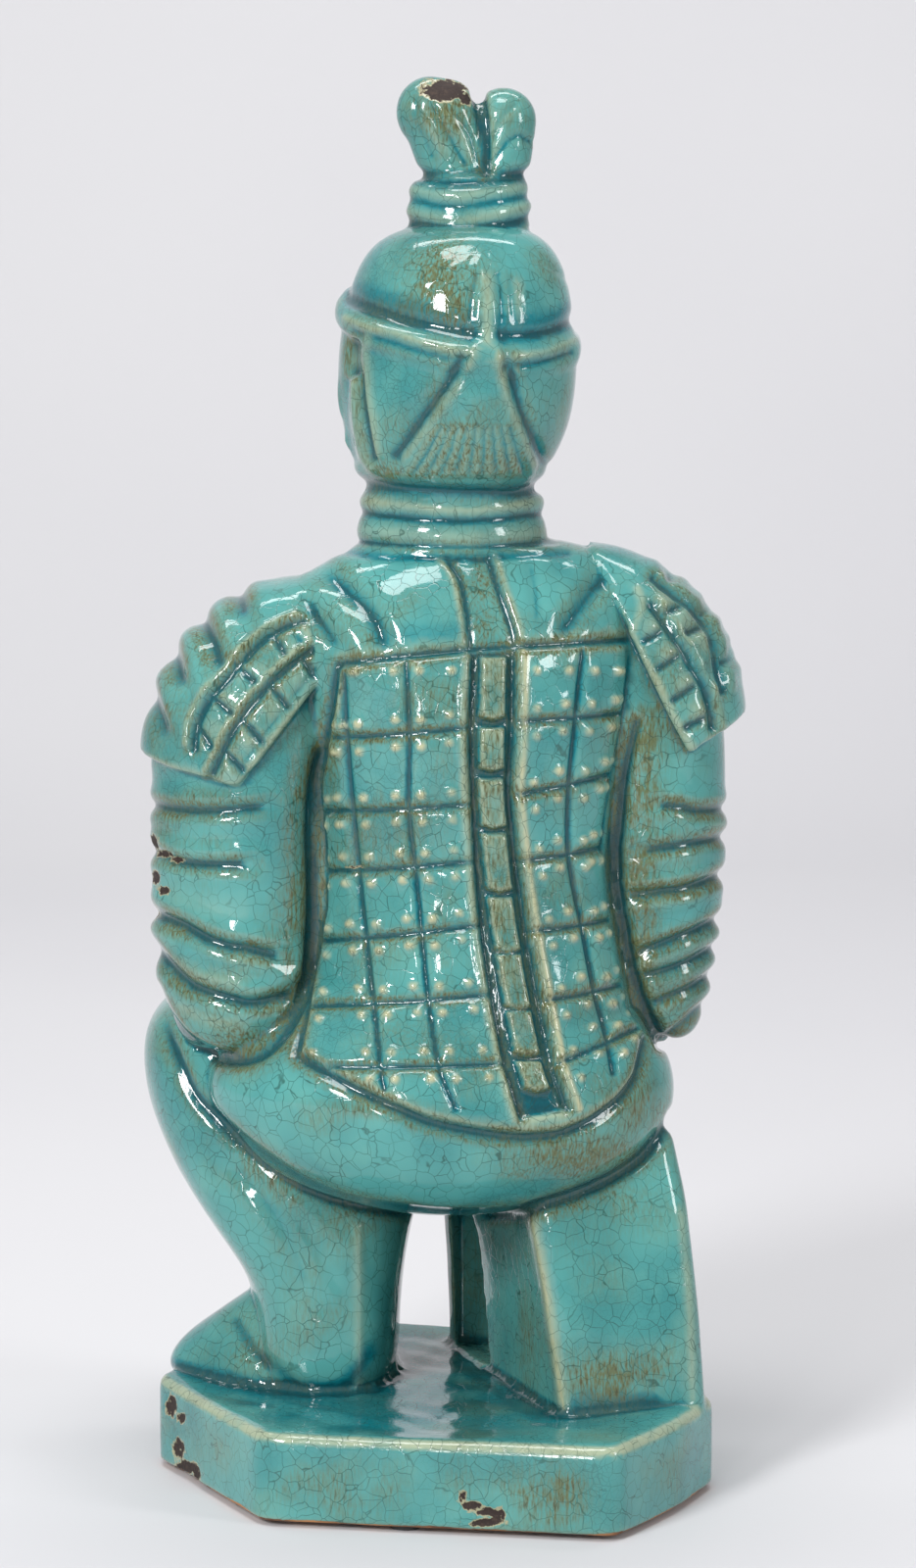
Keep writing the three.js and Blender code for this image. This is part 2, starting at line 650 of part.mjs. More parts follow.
const raw = figurine();
const { min, max } = raw.boundingBox();
const whole = new THREE.Group();
whole.name = 'ceramic_dignitary_figurine';
whole.position.set(-(min[0] + max[0]) / 2, -(min[1] + max[1]) / 2, 0);
whole.add(named('figurine', toGeometry(raw.scale([1, 1, TOTAL_HEIGHT / max[2]])), 0x5c9c97, 0.15));
whole.add(named('rubber_pad_rear', pad(PAD_REAR), 0x1b1b1c, 0.8));
whole.add(named('rubber_pad_front_left', pad(PAD_FRONT_LEFT), 0x1b1b1c, 0.8));
whole.add(named('rubber_pad_front_right', pad(PAD_FRONT_RIGHT), 0x1b1b1c, 0.8));

export default whole;
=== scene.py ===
# Crackle-glazed figurine of a kneeling dignitary, built on its CAD frame.
import json
import math

import bpy
import numpy as np
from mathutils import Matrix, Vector
from mathutils.kdtree import KDTree

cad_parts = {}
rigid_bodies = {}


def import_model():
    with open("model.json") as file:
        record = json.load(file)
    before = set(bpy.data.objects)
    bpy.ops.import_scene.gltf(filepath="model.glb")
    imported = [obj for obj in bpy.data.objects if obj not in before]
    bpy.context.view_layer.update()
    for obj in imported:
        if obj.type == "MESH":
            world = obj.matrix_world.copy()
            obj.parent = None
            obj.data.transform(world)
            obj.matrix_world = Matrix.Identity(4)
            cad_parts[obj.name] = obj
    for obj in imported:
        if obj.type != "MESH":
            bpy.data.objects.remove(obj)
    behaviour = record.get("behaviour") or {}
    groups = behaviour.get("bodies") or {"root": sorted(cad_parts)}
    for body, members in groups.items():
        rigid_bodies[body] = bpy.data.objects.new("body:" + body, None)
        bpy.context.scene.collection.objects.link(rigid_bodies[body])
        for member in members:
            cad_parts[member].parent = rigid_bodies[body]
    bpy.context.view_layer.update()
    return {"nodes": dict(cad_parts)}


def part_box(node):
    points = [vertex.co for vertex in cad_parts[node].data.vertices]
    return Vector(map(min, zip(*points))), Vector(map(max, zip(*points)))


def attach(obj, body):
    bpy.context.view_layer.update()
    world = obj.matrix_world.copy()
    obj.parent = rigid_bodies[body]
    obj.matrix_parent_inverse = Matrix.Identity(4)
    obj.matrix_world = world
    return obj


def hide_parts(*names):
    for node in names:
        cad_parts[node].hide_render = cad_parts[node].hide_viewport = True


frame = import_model()

MM = 0.001
TURN = math.radians(13)          # the upper body looks this far to its left
FINE = 0.75   # mesh spacing of the worked clay, in millimetres
EYE = (-8.0, 1499.0, 395.0)      # viewing point, millimetres
TILT = math.radians(6.48)
LENS = 107.7                     # millimetres, on a frame 36 mm tall
CHART_Y = 50.0                   # upright plane through the back on which the carving is drawn
CENTRE = np.array((2.72, -0.12, 0.0))   # move that brings the finished figure over its origin


# Small tools for shaping by hand
def edit(obj, everything=True):
    bpy.ops.object.select_all(action="DESELECT")
    obj.select_set(True)
    bpy.context.view_layer.objects.active = obj
    bpy.ops.object.mode_set(mode="EDIT")
    bpy.ops.mesh.select_mode(type="VERT")
    if everything:
        bpy.ops.mesh.select_all(action="SELECT")


def done():
    bpy.ops.object.mode_set(mode="OBJECT")


def pick(obj, indices):
    """Leaves edit mode open with only these vertices selected."""
    bpy.ops.mesh.select_all(action="DESELECT")
    bpy.ops.object.mode_set(mode="OBJECT")
    for i in indices:
        obj.data.vertices[i].select = True
    bpy.ops.object.mode_set(mode="EDIT")


def bake(obj):
    bpy.ops.object.select_all(action="DESELECT")
    obj.select_set(True)
    bpy.context.view_layer.objects.active = obj
    bpy.ops.object.transform_apply(location=True, rotation=True, scale=True)
    return obj


def subdivide_smooth(obj, levels):
    bpy.context.view_layer.objects.active = obj
    mod = obj.modifiers.new("round", "SUBSURF")
    mod.levels = mod.render_levels = levels
    bpy.ops.object.modifier_apply(modifier=mod.name)
    return obj


def loft(name, levels, sides=16, turn=0.0, corner=1.0, smooth=2):
    """Ring extruded through levels (z, x, y, width, depth); corner above 1 squares the ring."""
    swell = 3 / (2 + math.cos(2 * math.pi / sides))
    cos_t = math.cos(-turn)
    sin_t = math.sin(-turn)
    rows = []
    for z, x, y, w, d in levels:
        rows.append((x * cos_t - y * sin_t, x * sin_t + y * cos_t, z, w * swell, d * swell))
    x, y, z, w, d = rows[0]
    bpy.ops.object.select_all(action="DESELECT")
    bpy.ops.mesh.primitive_circle_add(vertices=sides, radius=0.5, fill_type="NGON")
    obj = bpy.context.object
    obj.name = name
    edit(obj)
    if corner != 1.0:
        step = sides // 4
        pick(obj, [i for i in range(sides) if i % step == step // 2])
        bpy.ops.transform.resize(value=(corner, corner, 1), center_override=(0, 0, 0))
        bpy.ops.mesh.select_all(action="SELECT")
    bpy.ops.transform.resize(value=(w * MM, d * MM, 1), center_override=(0, 0, 0))
    bpy.ops.transform.translate(value=(x * MM, y * MM, z * MM))
    for x2, y2, z2, w2, d2 in rows[1:]:
        move = ((x2 - x) * MM, (y2 - y) * MM, (z2 - z) * MM)
        bpy.ops.mesh.extrude_region_move(TRANSFORM_OT_translate={"value": move})
        centre = (x2 * MM, y2 * MM, z2 * MM)
        bpy.ops.transform.resize(value=(w2 / w, d2 / d, 1), center_override=centre)
        x, y, z, w, d = x2, y2, z2, w2, d2
    bpy.ops.mesh.select_all(action="SELECT")
    bpy.ops.mesh.normals_make_consistent(inside=False)
    done()
    obj.rotation_euler = (0, 0, turn)
    bake(obj)
    return subdivide_smooth(obj, smooth)


def ball(name, centre, size, turn=0.0, tilt=0.0, lean=0.0, segments=32):
    bpy.ops.object.select_all(action="DESELECT")
    bpy.ops.mesh.primitive_uv_sphere_add(segments=segments, ring_count=segments // 2, radius=0.5)
    obj = bpy.context.object
    obj.name = name
    obj.scale = [s * MM for s in size]
    obj.rotation_euler = (tilt, lean, turn)
    obj.location = [c * MM for c in centre]
    return bake(obj)


def limb(name, stations, sides=24):
    """Rounded limb: tapered lengths between (x, y, z, radius) stations, with a ball at each."""
    pieces = []
    for (ax, ay, az, ar), (bx, by, bz, br) in zip(stations, stations[1:]):
        a, b = Vector((ax, ay, az)), Vector((bx, by, bz))
        axis = b - a
        bpy.ops.object.select_all(action="DESELECT")
        bpy.ops.mesh.primitive_cone_add(vertices=sides, radius1=ar * MM, radius2=br * MM,
                                        depth=axis.length * MM)
        cone = bpy.context.object
        cone.rotation_euler = axis.to_track_quat("Z", "Y").to_euler()
        cone.location = (a + b) / 2 * MM
        pieces.append(bake(cone))
    for x, y, z, r in stations:
        pieces.append(ball(name, (x, y, z), (2 * r,) * 3, segments=sides))
    return join(name, pieces)


def join(name, pieces):
    bpy.ops.object.select_all(action="DESELECT")
    for piece in pieces:
        piece.select_set(True)
    bpy.context.view_layer.objects.active = pieces[0]
    if len(pieces) > 1:
        bpy.ops.object.join()
    obj = bpy.context.object
    obj.name = name
    return obj


def cut(obj, point, normal):
    """Slices a closed piece and drops the side that the normal points to."""
    edit(obj)
    bpy.ops.mesh.bisect(plane_co=[c * MM for c in point], plane_no=normal, use_fill=True, clear_outer=True)
    bpy.ops.mesh.select_all(action="SELECT")
    bpy.ops.mesh.normals_make_consistent(inside=False)
    done()
    return obj


def turned(obj, x, y):
    """Swings a piece made straight on about the body's axis, then sets it in place."""
    obj.rotation_euler = (0, 0, TURN)
    obj.location = (x * MM, y * MM, 0)
    return bake(obj)


# Plinth
PLINTH_PLAN = [(53.5, 72.5), (-57, 91.5), (-79, 54), (-91, 25), (-53, -68), (57, -92), (91, -5)]
PLINTH_LOW = 1.5
PLINTH_TOP = 30.0
CORNER_ROUND = 6                 # rounding of the upright corners
RIM_SHARE = 0.7                  # share of it on the top edge
FOOT_SHARE = 0.25                # and on the bottom edge


def outline_face(name, plan, z):
    """Flat face with these corners, each corner pulled out from a plain ring."""
    bpy.ops.object.select_all(action="DESELECT")
    bpy.ops.mesh.primitive_circle_add(vertices=len(plan), radius=0.05, fill_type="NGON")
    obj = bpy.context.object
    obj.name = name
    edit(obj)
    bpy.ops.transform.translate(value=(0, 0, z * MM))
    done()
    move_ring(obj, z, plan)
    return obj


def bearing(spot):
    """Angle round the upright axis, from 0 to a full turn."""
    return math.atan2(spot[1], spot[0]) % (2 * math.pi)


def move_ring(obj, z, plan):
    """Sets the corners that lie at this height, in their order round the axis, on the plan."""
    ring = [v.index for v in obj.data.vertices if abs(v.co.z - z * MM) < 1e-4]
    ring.sort(key=lambda i: bearing(obj.data.vertices[i].co))
    corners = sorted(plan, key=bearing)
    for i, (x, y) in zip(ring, corners):
        old = obj.data.vertices[i].co.copy()
        edit(obj, False)
        pick(obj, [i])
        bpy.ops.transform.translate(value=(x * MM - old.x, y * MM - old.y, 0))
        done()


def plinth():
    obj = outline_face("plinth", PLINTH_PLAN, PLINTH_LOW)
    edit(obj)
    lift = (0, 0, (PLINTH_TOP - PLINTH_LOW) * MM)
    bpy.ops.mesh.extrude_region_move(TRANSFORM_OT_translate={"value": lift})
    bpy.ops.mesh.select_all(action="SELECT")
    bpy.ops.mesh.normals_make_consistent(inside=False)
    done()
    mesh = obj.data
    weights = mesh.attributes.new("bevel_weight_edge", "FLOAT", "EDGE")
    for edge in mesh.edges:
        a, b = (mesh.vertices[i].co for i in edge.vertices)
        level_share = RIM_SHARE if a.z > PLINTH_LOW * 2 * MM else FOOT_SHARE
        weights.data[edge.index].value = 1.0 if abs(a.z - b.z) > 1e-4 else level_share
    soften = obj.modifiers.new("corners", "BEVEL")
    soften.width = CORNER_ROUND * MM
    soften.segments = 4
    soften.limit_method = "WEIGHT"
    bpy.context.view_layer.objects.active = obj
    bpy.ops.object.modifier_apply(modifier=soften.name)
    return obj


# Legs and robe
def standing_leg():
    trouser = loft("standing_leg", [
        (22, 36, -26, 46, 88), (44, 35, -26, 45, 86), (60, 35, -27, 47, 86), (74, 39, -30, 59, 92),
        (90, 43, -34, 74, 98), (110, 48, -37, 84, 98), (130, 51, -38, 87, 94), (146, 51, -38, 82, 84),
        (156, 49, -36, 58, 60)], sides=8, corner=1.22, smooth=3)
    foot = loft("foot", [
        (22, 50, -21, 77, 58), (33, 50, -21, 76, 57), (42, 47, -19, 62, 50), (52, 42, -17, 44, 42),
        (62, 38, -17, 26, 34)], sides=8, turn=-0.5, corner=1.12, smooth=3)
    return [trouser, foot]


def kneeling_leg():
    low = [(-42, 50), (-88, 37), (-84, -12), (-62, -50), (-26, -68), (-4, -60)]
    high = [(-25, 38), (-75, 20), (-74, -10), (-64, -34), (-20, -50), (3, -46)]
    heights = (22, 60, 95, 122)
    obj = outline_face("kneeling_leg", low, heights[0])
    for z, z2 in zip(heights, heights[1:]):
        edit(obj, False)
        bpy.ops.mesh.select_all(action="DESELECT")
        done()
        top = [v.index for v in obj.data.vertices if abs(v.co.z - z * MM) < 1e-4]
        edit(obj, False)
        pick(obj, top)
        bpy.ops.mesh.extrude_region_move(TRANSFORM_OT_translate={"value": (0, 0, (z2 - z) * MM)})
        done()
    for z, lean in zip(heights, (0.0, 0.2, 0.52, 1.0)):
        plan = [(a + (c - a) * lean, b + (d - b) * lean) for (a, b), (c, d) in zip(low, high)]
        move_ring(obj, z, plan)
    edit(obj)
    bpy.ops.mesh.normals_make_consistent(inside=False)
    bpy.ops.mesh.bevel(offset=5 * MM, segments=3, affect="EDGES")
    done()
    return hollow(obj, vent_plug())


def vent_plug():
    """Arched plug: a block with a drum on top, pushed into the inner wall of the kneeling leg."""
    wide, tall, middle, spring = 30, 40, 50, 69.5
    bpy.ops.object.select_all(action="DESELECT")
    bpy.ops.mesh.primitive_cube_add(size=1, location=(0, 0, middle * MM))
    block = bpy.context.object
    block.scale = (wide * MM, wide * MM, tall * MM)
    bake(block)
    bpy.ops.mesh.primitive_cylinder_add(vertices=40, radius=wide / 2 * MM, depth=wide * MM)
    drum = bpy.context.object
    drum.rotation_euler = (0, math.pi / 2, 0)
    drum.location = (0, 0, spring * MM)
    bake(drum)
    plug = join("vent_plug", [block, drum])
    plug.rotation_euler = (0, 0, -0.38)
    plug.location = (-17 * MM, -34 * MM, 0)
    return bake(plug)


def hollow(obj, plug):
    cutter = obj.modifiers.new("hollow", "BOOLEAN")
    cutter.operation = "DIFFERENCE"
    cutter.solver = "EXACT"
    cutter.object = plug
    cutter.use_self = True
    bpy.context.view_layer.objects.active = obj
    bpy.ops.object.modifier_apply(modifier=cutter.name)
    bpy.data.objects.remove(plug, do_unlink=True)
    return obj


def robe():
    return [loft("robe", [
        (87, -8, 8, 36, 34), (91, -8, 8, 74, 66), (96, -7, 8, 100, 88), (103, -6, 8, 121, 102),
        (112, -5, 8, 139, 112), (124, -3, 7, 152, 117), (137, -2, 7, 150, 116), (149, -4, 6, 130, 104),
        (161, -4, 5, 108, 90), (171, -3, 4, 94, 80)], sides=16, turn=TURN / 2, smooth=3)]


# Torso, arms and guards: rings as (height, x, y, width, depth)
TORSO = [(112, -8, 6, 104, 92), (130, -10, 7, 112, 100), (150, -11, 6, 108, 98), (175, -11, 4, 100, 90),
         (205, -10, 3, 94, 86), (235, -10, 3, 104, 92), (260, -9, 2, 120, 92), (276, -9, 1, 128, 86),
         (290, -11, 0, 118, 74), (299, -13, 0, 86, 60), (305, -9, 0, 60, 53)]
SLEEVE_LEFT = [(138, 64, 7, 22, 28), (143, 62, 8, 41, 47), (152, 61.5, 8, 51, 59), (168, 61.5, 7, 55, 64),
               (190, 61, 6, 58, 66), (225, 61, 7, 59, 68), (255, 56, 6, 64, 66), (276, 48, 4, 54, 54),
               (289, 40, 2, 34, 38)]
SLEEVE_RIGHT = [(140, -75, -16, 14, 24), (145, -72, -16, 28, 42), (154, -69, -16, 40, 54),
                (170, -67, -15, 48, 60), (190, -67, -14, 54, 64), (225, -67, -13, 55, 66),
                (255, -64, -11, 60, 64), (278, -57, -9, 52, 52), (293, -48, -7, 34, 38)]
GUARD_LEFT = [(216, 62, 6, 62, 72), (232, 62, 6, 64, 76), (244, 60, 6, 65, 77), (256, 57, 5, 64, 76),
              (270, 51, 4, 63, 70), (282, 43, 3, 56, 60), (293, 34, 2, 38, 44)]
GUARD_RIGHT = [(224, -69, -13, 60, 72), (236, -69, -13, 64, 75), (248, -68, -12, 67, 76),
               (262, -65, -11, 68, 74), (275, -61, -10, 66, 68), (288, -55, -9, 59, 58),
               (298, -47, -8, 44, 44), (303, -40, -7, 28, 30)]


def torso():
    return loft("torso", TORSO, sides=16, turn=TURN, smooth=3)


def sleeve(name, rings):
    return loft(name, rings, sides=12, turn=TURN, smooth=3)


def armpit(side):
    """Clay that fills the gap between the sleeve and the body."""
    if side > 0:
        return limb("armpit_left", [(40, 14, 160, 10), (37, 15, 190, 11.5), (36.5, 15, 236, 11)])
    return limb("armpit_right", [(-64, -3, 158, 9), (-60, -3, 195, 10.5), (-61, -2, 242, 10)])


def guard(name, rings, inner_edge, lower_edge):
    """Cap over the sleeve, sliced along its inner and its lower edge: (point, way that is dropped)."""
    cap = loft(name, rings, sides=12, turn=TURN, smooth=3)
    cut(cap, *inner_edge)
    return cut(cap, *lower_edge)


def forearms():
    return [
        limb("forearm_left", [(62, -4, 160, 23), (45, -32, 163, 22), (16, -56, 171, 17),
                              (-14, -64, 179, 12.5)]),
        limb("forearm_right", [(-68, -16, 160, 22), (-68, -40, 158, 19), (-57, -57, 159, 15),
                               (-44, -64, 162, 11.5)]),
        ball("crook", (34, -14, 174), (34, 36, 30)),
    ]


def fists():
    made = []
    for x, y, z in ((-26, -66, 184), (-38, -66, 163)):
        made.append(ball("fist", (x, y, z), (25, 22, 26), turn=0.25))
        for rise in (-8.2, -2.8, 2.6, 8):
            made.append(ball("finger", (x - 2, y - 7, z + rise), (22, 12, 6.2), turn=0.3, tilt=0.1))
        thumb = [(x + 9, y - 5, z + 6, 3.6), (x + 4, y - 11, z + 12, 3.3), (x - 3, y - 12, z + 13, 2.8)]
        made.append(limb("thumb", thumb, sides=12))
    return made


# Scarf, head and hair
def scarf():
    rings = [(294, 68), (300, 62), (304, 59.5), (308.5, 60), (312, 58.6), (315.5, 58.6), (318.5, 57),
             (321.5, 53.5), (324, 52)]
    piece = loft("scarf", [(z, 0, 0, w, w * 0.98) for z, w in rings], sides=24, smooth=2)
    return turned(piece, -6, 0)


def head():
    levels = [(308, -5.5, 0, 48, 50), (318, -5.5, 0, 53, 60), (326, -5.5, -1, 61, 73),
              (336, -6.5, -1, 70.5, 84), (348, -7.5, -1, 74.5, 90), (360, -7.8, -1, 75.5, 91),
              (371, -8, 0, 73.5, 88), (384, -8.5, 1, 69, 80), (396, -9, 2, 60, 66), (404, -10, 3, 37, 41)]
    skull = loft("skull", levels, sides=16, turn=TURN, smooth=3)
    bpy.ops.object.select_all(action="DESELECT")
    bpy.ops.mesh.primitive_torus_add(major_radius=36.6 * MM, minor_radius=2.9 * MM, major_segments=64,
                                     minor_segments=16)
    band = bpy.context.object
    band.name = "hair_band"
    edit(band)
    bpy.ops.transform.resize(value=(1, 1.2, 1.75), center_override=(0, 0, 0))
    done()
    band.rotation_euler = (math.radians(-12), math.radians(-7), 0)
    bake(band)
    band.location = (0, 0, 370.5 * MM)
    bake(band)
    turned(band, -8, 0)
    return [skull, band] + face() + ears()


def face():
    made = [
        ball("cheeks", (0, -31, 345), (56, 33, 62)),
        ball("chin", (0, -36, 322), (30, 22, 20)),
        limb("nose", [(0, -44, 359, 2.8), (0, -48.5, 349, 3.4), (0, -50, 342.5, 4.4)], sides=16),
        ball("philtrum", (0, -44, 336), (16, 8, 8)),
    ]
    for side in (1, -1):
        made.append(ball("eye", (side * 12.5, -42.5, 352.5), (15, 9, 7.5), segments=24))
        brow = [(side * 4, -45.5, 358.5, 2), (side * 12, -45.5, 361.5, 2.3), (side * 22, -38, 359, 1.8)]
        made.append(limb("brow", brow, sides=12))
        made.append(ball("nostril", (side * 4.6, -46.5, 340.8), (6.5, 8, 6), segments=16))
        made.append(ball("lip", (side * 3.6, -45.6, 331.8), (10.5, 6.5, 3.6), lean=side * 0.12,
                         segments=16))
        moustache = [(side * 2, -47, 335.4, 1.5), (side * 9, -45, 335, 1.6), (side * 14, -40.5, 332.5, 1)]
        made.append(limb("moustache", moustache, sides=10))
    made.append(ball("lip", (0, -45, 328.4), (13, 7, 4.2), segments=16))
    return [turned(piece, -8, 0) for piece in made]


def ears():
    made = []
    for side in (1, -1):
        made.append(ball("ear", (side * 33.6, -5, 351), (7, 15, 26), tilt=-0.1, turn=side * 0.3))
        made.append(ball("lobe", (side * 32.6, -6, 337), (7, 9, 13), turn=side * 0.3))
    return [turned(piece, -8, 0) for piece in made]


def topknot():
    rings = [(384, 30), (390, 33.5), (395, 36.8), (399, 38.6), (403, 39), (407, 39.4), (411, 38.8),
             (414, 37.8), (417, 35.2), (420, 33)]
    collar = loft("knot_collar", [(z, 0, 0, w, w * 0.95) for z, w in rings], sides=24, smooth=2)
    turned(collar, -11.4, 1)
    left = limb("loop_left", [(-9, 0, 412, 11), (-6.5, 0, 425, 12), (-3.4, 0, 436.6, 12.8)], sides=32)
    right = limb("loop_right", [(-18.5, 1, 412, 10), (-21, 1, 425, 10.4), (-22.4, 1, 436, 10.6)], sides=32)
    tip = ball("loop_tip", (0.2, 0, 438.3), (22.5, 24, 23.4), lean=0.4)
    return [collar, left, right, tip]


# One casting
GROUPS = {
    "plinth": [plinth()],
    "leg": standing_leg(),
    "block": [kneeling_leg()],
    "robe": robe(),
    "torso": [torso()],
    "arm_left": [sleeve("sleeve_left", SLEEVE_LEFT), armpit(1)],
    "arm_right": [sleeve("sleeve_right", SLEEVE_RIGHT), armpit(-1)],
    "guard_left": [guard("guard_left", GUARD_LEFT, ((47, 0, 247), (-0.79, 0, -0.61)),
                         ((62, 0, 229), (0.24, 0, -0.97)))],
    "guard_right": [guard("guard_right", GUARD_RIGHT, ((-73, 0, 254), (0.9, 0, -0.43)),
                          ((-84, 0, 239), (-0.45, 0, -0.89)))],
    "hands": forearms() + fists(),
    "scarf": [scarf()],
    "head": head(),
    "knot": topknot(),
}


def points_of(obj):
    co = np.empty(len(obj.data.vertices) * 3)
    obj.data.vertices.foreach_get("co", co)
    return co.reshape(-1, 3) / MM


def set_points(obj, points):
    obj.data.vertices.foreach_set("co", (points * MM).ravel())
    obj.data.update()


def normals_of(obj):
    no = np.empty(len(obj.data.vertices) * 3)
    obj.data.vertex_normals.foreach_get("vector", no)
    return no.reshape(-1, 3)


def spread(obj, gap=3.0):
    """Points spread evenly over a piece's faces."""
    mesh = obj.data
    mesh.calc_loop_triangles()
    corners = np.empty(len(mesh.loop_triangles) * 3, dtype=np.int32)
    mesh.loop_triangles.foreach_get("vertices", corners)
    a, b, c = (points_of(obj)[corners.reshape(-1, 3)[:, k]] for k in range(3))
    longest = np.maximum(np.linalg.norm(a - b, axis=1), np.linalg.norm(a - c, axis=1))
    parts = np.ceil(longest / gap).astype(int).clip(1, 40)
    found = [a, b, c]
    for k in np.unique(parts):
        here = parts == k
        for i in range(k):
            for j in range(k - i):
                u, v = (i + 0.33) / k, (j + 0.33) / k
                found.append(a[here] * (1 - u - v) + b[here] * u + c[here] * v)
    return np.concatenate(found)


def cast(groups):
    """Joins every piece into one skin of clay, and tells which piece each point came from."""
    tree_points, owners = [], []
    for k, pieces in enumerate(groups.values()):
        for piece in pieces:
            found = spread(piece)
            tree_points.append(found)
            owners += [k] * len(found)
    tree_points = np.concatenate(tree_points)
    tree = KDTree(len(tree_points))
    for i, point in enumerate(tree_points):
        tree.insert(point, i)
    tree.balance()
    obj = join("glazed_figurine", [piece for pieces in groups.values() for piece in pieces])
    clay = obj.modifiers.new("clay", "REMESH")
    clay.mode = "VOXEL"
    clay.voxel_size = FINE * MM
    bpy.ops.object.modifier_apply(modifier=clay.name)
    keep_largest(obj)
    soft = obj.modifiers.new("soft", "SMOOTH")
    soft.factor = 0.5
    soft.iterations = round(9 / FINE ** 2)
    bpy.ops.object.modifier_apply(modifier=soft.name)
    owner = np.array([owners[tree.find(p)[1]] for p in points_of(obj)])
    return obj, owner


def keep_largest(obj):
    """Drops loose crumbs left inside by the joining."""
    points = points_of(obj)
    edit(obj, False)
    pick(obj, [int(points[:, 2].argmax())])
    bpy.ops.mesh.select_linked()
    bpy.ops.mesh.select_all(action="INVERT")
    bpy.ops.mesh.delete(type="VERT")
    done()


body, owner = cast(GROUPS)
P, N = points_of(body), normals_of(body)
COUNT = len(P)
EDGES = np.empty(len(body.data.edges) * 2, dtype=np.int32)
body.data.edges.foreach_get("vertices", EDGES)
EDGES = EDGES.reshape(-1, 2)
HEADS, TAILS = EDGES[:, 0], EDGES[:, 1]
DEGREE = np.bincount(EDGES.ravel(), minlength=COUNT).astype(float)


def around(values):
    """Mean of the neighbours' values."""
    if values.ndim == 2:
        return np.stack([around(values[:, k]) for k in range(values.shape[1])], axis=1)
    total = np.bincount(HEADS, values[TAILS], COUNT) + np.bincount(TAILS, values[HEADS], COUNT)
    return total / DEGREE


def blur(values, rounds):
    for _ in range(rounds):
        values = 0.5 * values + 0.5 * around(values)
    return values


def ease(low, high, values):
    t = np.clip((values - low) / (high - low), 0, 1)
    return t * t * (3 - 2 * t)


def chart_of(points):
    """Where each point is seen on the upright chart plane from the viewing point."""
    scale = (EYE[1] - CHART_Y) / (EYE[1] - points[:, 1])
    across = EYE[0] + (points[:, 0] - EYE[0]) * scale
    up = EYE[2] + (points[:, 2] - EYE[2]) * scale
    return np.stack([across, up], axis=1)


CHART = chart_of(P)
FRONT = np.stack([P[:, 0] * math.cos(TURN) + P[:, 1] * math.sin(TURN), P[:, 2]], axis=1)
NAMES = list(GROUPS)


def on(*names, near=-12.0, far=4.0):
    """Soft mask of the points that came from these pieces and lie behind the given depths."""
    mask = np.isin(owner, [NAMES.index(name) for name in names]).astype(float)
    return blur(mask, 3) * ease(near, far, P[:, 1])


def in_front(*names, near=0.0, far=-14.0):
    """The same for the side that faces away from the viewing point."""
    mask = np.isin(owner, [NAMES.index(name) for name in names]).astype(float)
    return blur(mask, 3) * ease(-near, -far, -P[:, 1])


def flowing(points, parts=5):
    """Smooth line through given points."""
    p = [np.array(q, dtype=float) for q in points]
    if len(p) < 3:
        return np.array([p[0] + (p[1] - p[0]) * k / parts for k in range(parts + 1)])
    p = [2 * p[0] - p[1]] + p + [2 * p[-1] - p[-2]]
    made = []
    for a, b, c, d in zip(p, p[1:], p[2:], p[3:]):
        for k in range(parts):
            t = k / parts
            square, cube = 2 * a - 5 * b + 4 * c - d, 3 * b - a - 3 * c + d
            made.append(0.5 * (2 * b + (c - a) * t + square * t * t + cube * t ** 3))
    made.append(p[-2])
    return np.array(made)


def near_line(line, span, plan):
    """Points within a span of a line on the plan: their numbers, distances and side of the line."""
    low, high = line.min(0) - span, line.max(0) + span
    index = np.where(((plan > low) & (plan < high)).all(axis=1))[0]
    spot = plan[index]
    best, side = np.full(len(index), 1e9), np.zeros(len(index))
    for a, b in zip(line, line[1:]):
        run = b - a
        t = np.clip(((spot - a) @ run) / max(run @ run, 1e-9), 0, 1)
        off = spot - a - t[:, None] * run
        gap = np.hypot(off[:, 0], off[:, 1])
        closer = gap < best
        best = np.where(closer, gap, best)
        side = np.where(closer, np.sign(run[0] * off[:, 1] - run[1] * off[:, 0]), side)
    keep = best < span
    return index[keep], best[keep], side[keep]


def inside(outline, plan):
    """True for points within a closed outline on the plan."""
    result = np.zeros(len(plan), dtype=bool)
    for (ax, az), (bx, bz) in zip(outline, np.roll(outline, -1, axis=0)):
        crosses = (az > plan[:, 1]) != (bz > plan[:, 1])
        with np.errstate(divide="ignore", invalid="ignore"):
            x = (bx - ax) * (plan[:, 1] - az) / (bz - az) + ax
        result ^= crosses & (plan[:, 0] < x)
    return result


cut_depth = np.zeros(COUNT)
raised = np.zeros(COUNT)
dye = np.zeros(COUNT)
cream = np.zeros(COUNT)
rust = np.zeros(COUNT)


def wander(points, size, seed):
    """Soft uneven field made of a few waves, the same every time."""
    rng = np.random.default_rng(seed)
    total = np.zeros(len(points))
    for _ in range(7):
        way = rng.normal(size=3)
        way *= 2 * math.pi / (size * rng.uniform(0.7, 1.5)) / np.linalg.norm(way)
        total += np.sin(points @ way + rng.uniform(0, 2 * math.pi))
    return total / 7


def deepen(layer, index, amount):
    """Raises a layer to an amount where it is lower."""
    layer[index] = np.maximum(layer[index], amount)


def groove(points, width, depth, where, tint=0.0, plan=None, stain=0.0):
    """Cuts a rounded groove along a line; stain is the brown that gathers along its banks."""
    index, gap, _ = near_line(flowing(points), width * 3.4, CHART if plan is None else plan)
    mask = where[index]
    fall = np.exp(-(gap / width) ** 2) * mask
    deepen(cut_depth, index, depth * fall)
    deepen(dye, index, tint * fall)
    deepen(rust, index, stain * np.exp(-((gap - 1.35 * width) / (0.95 * width)) ** 2) * mask)


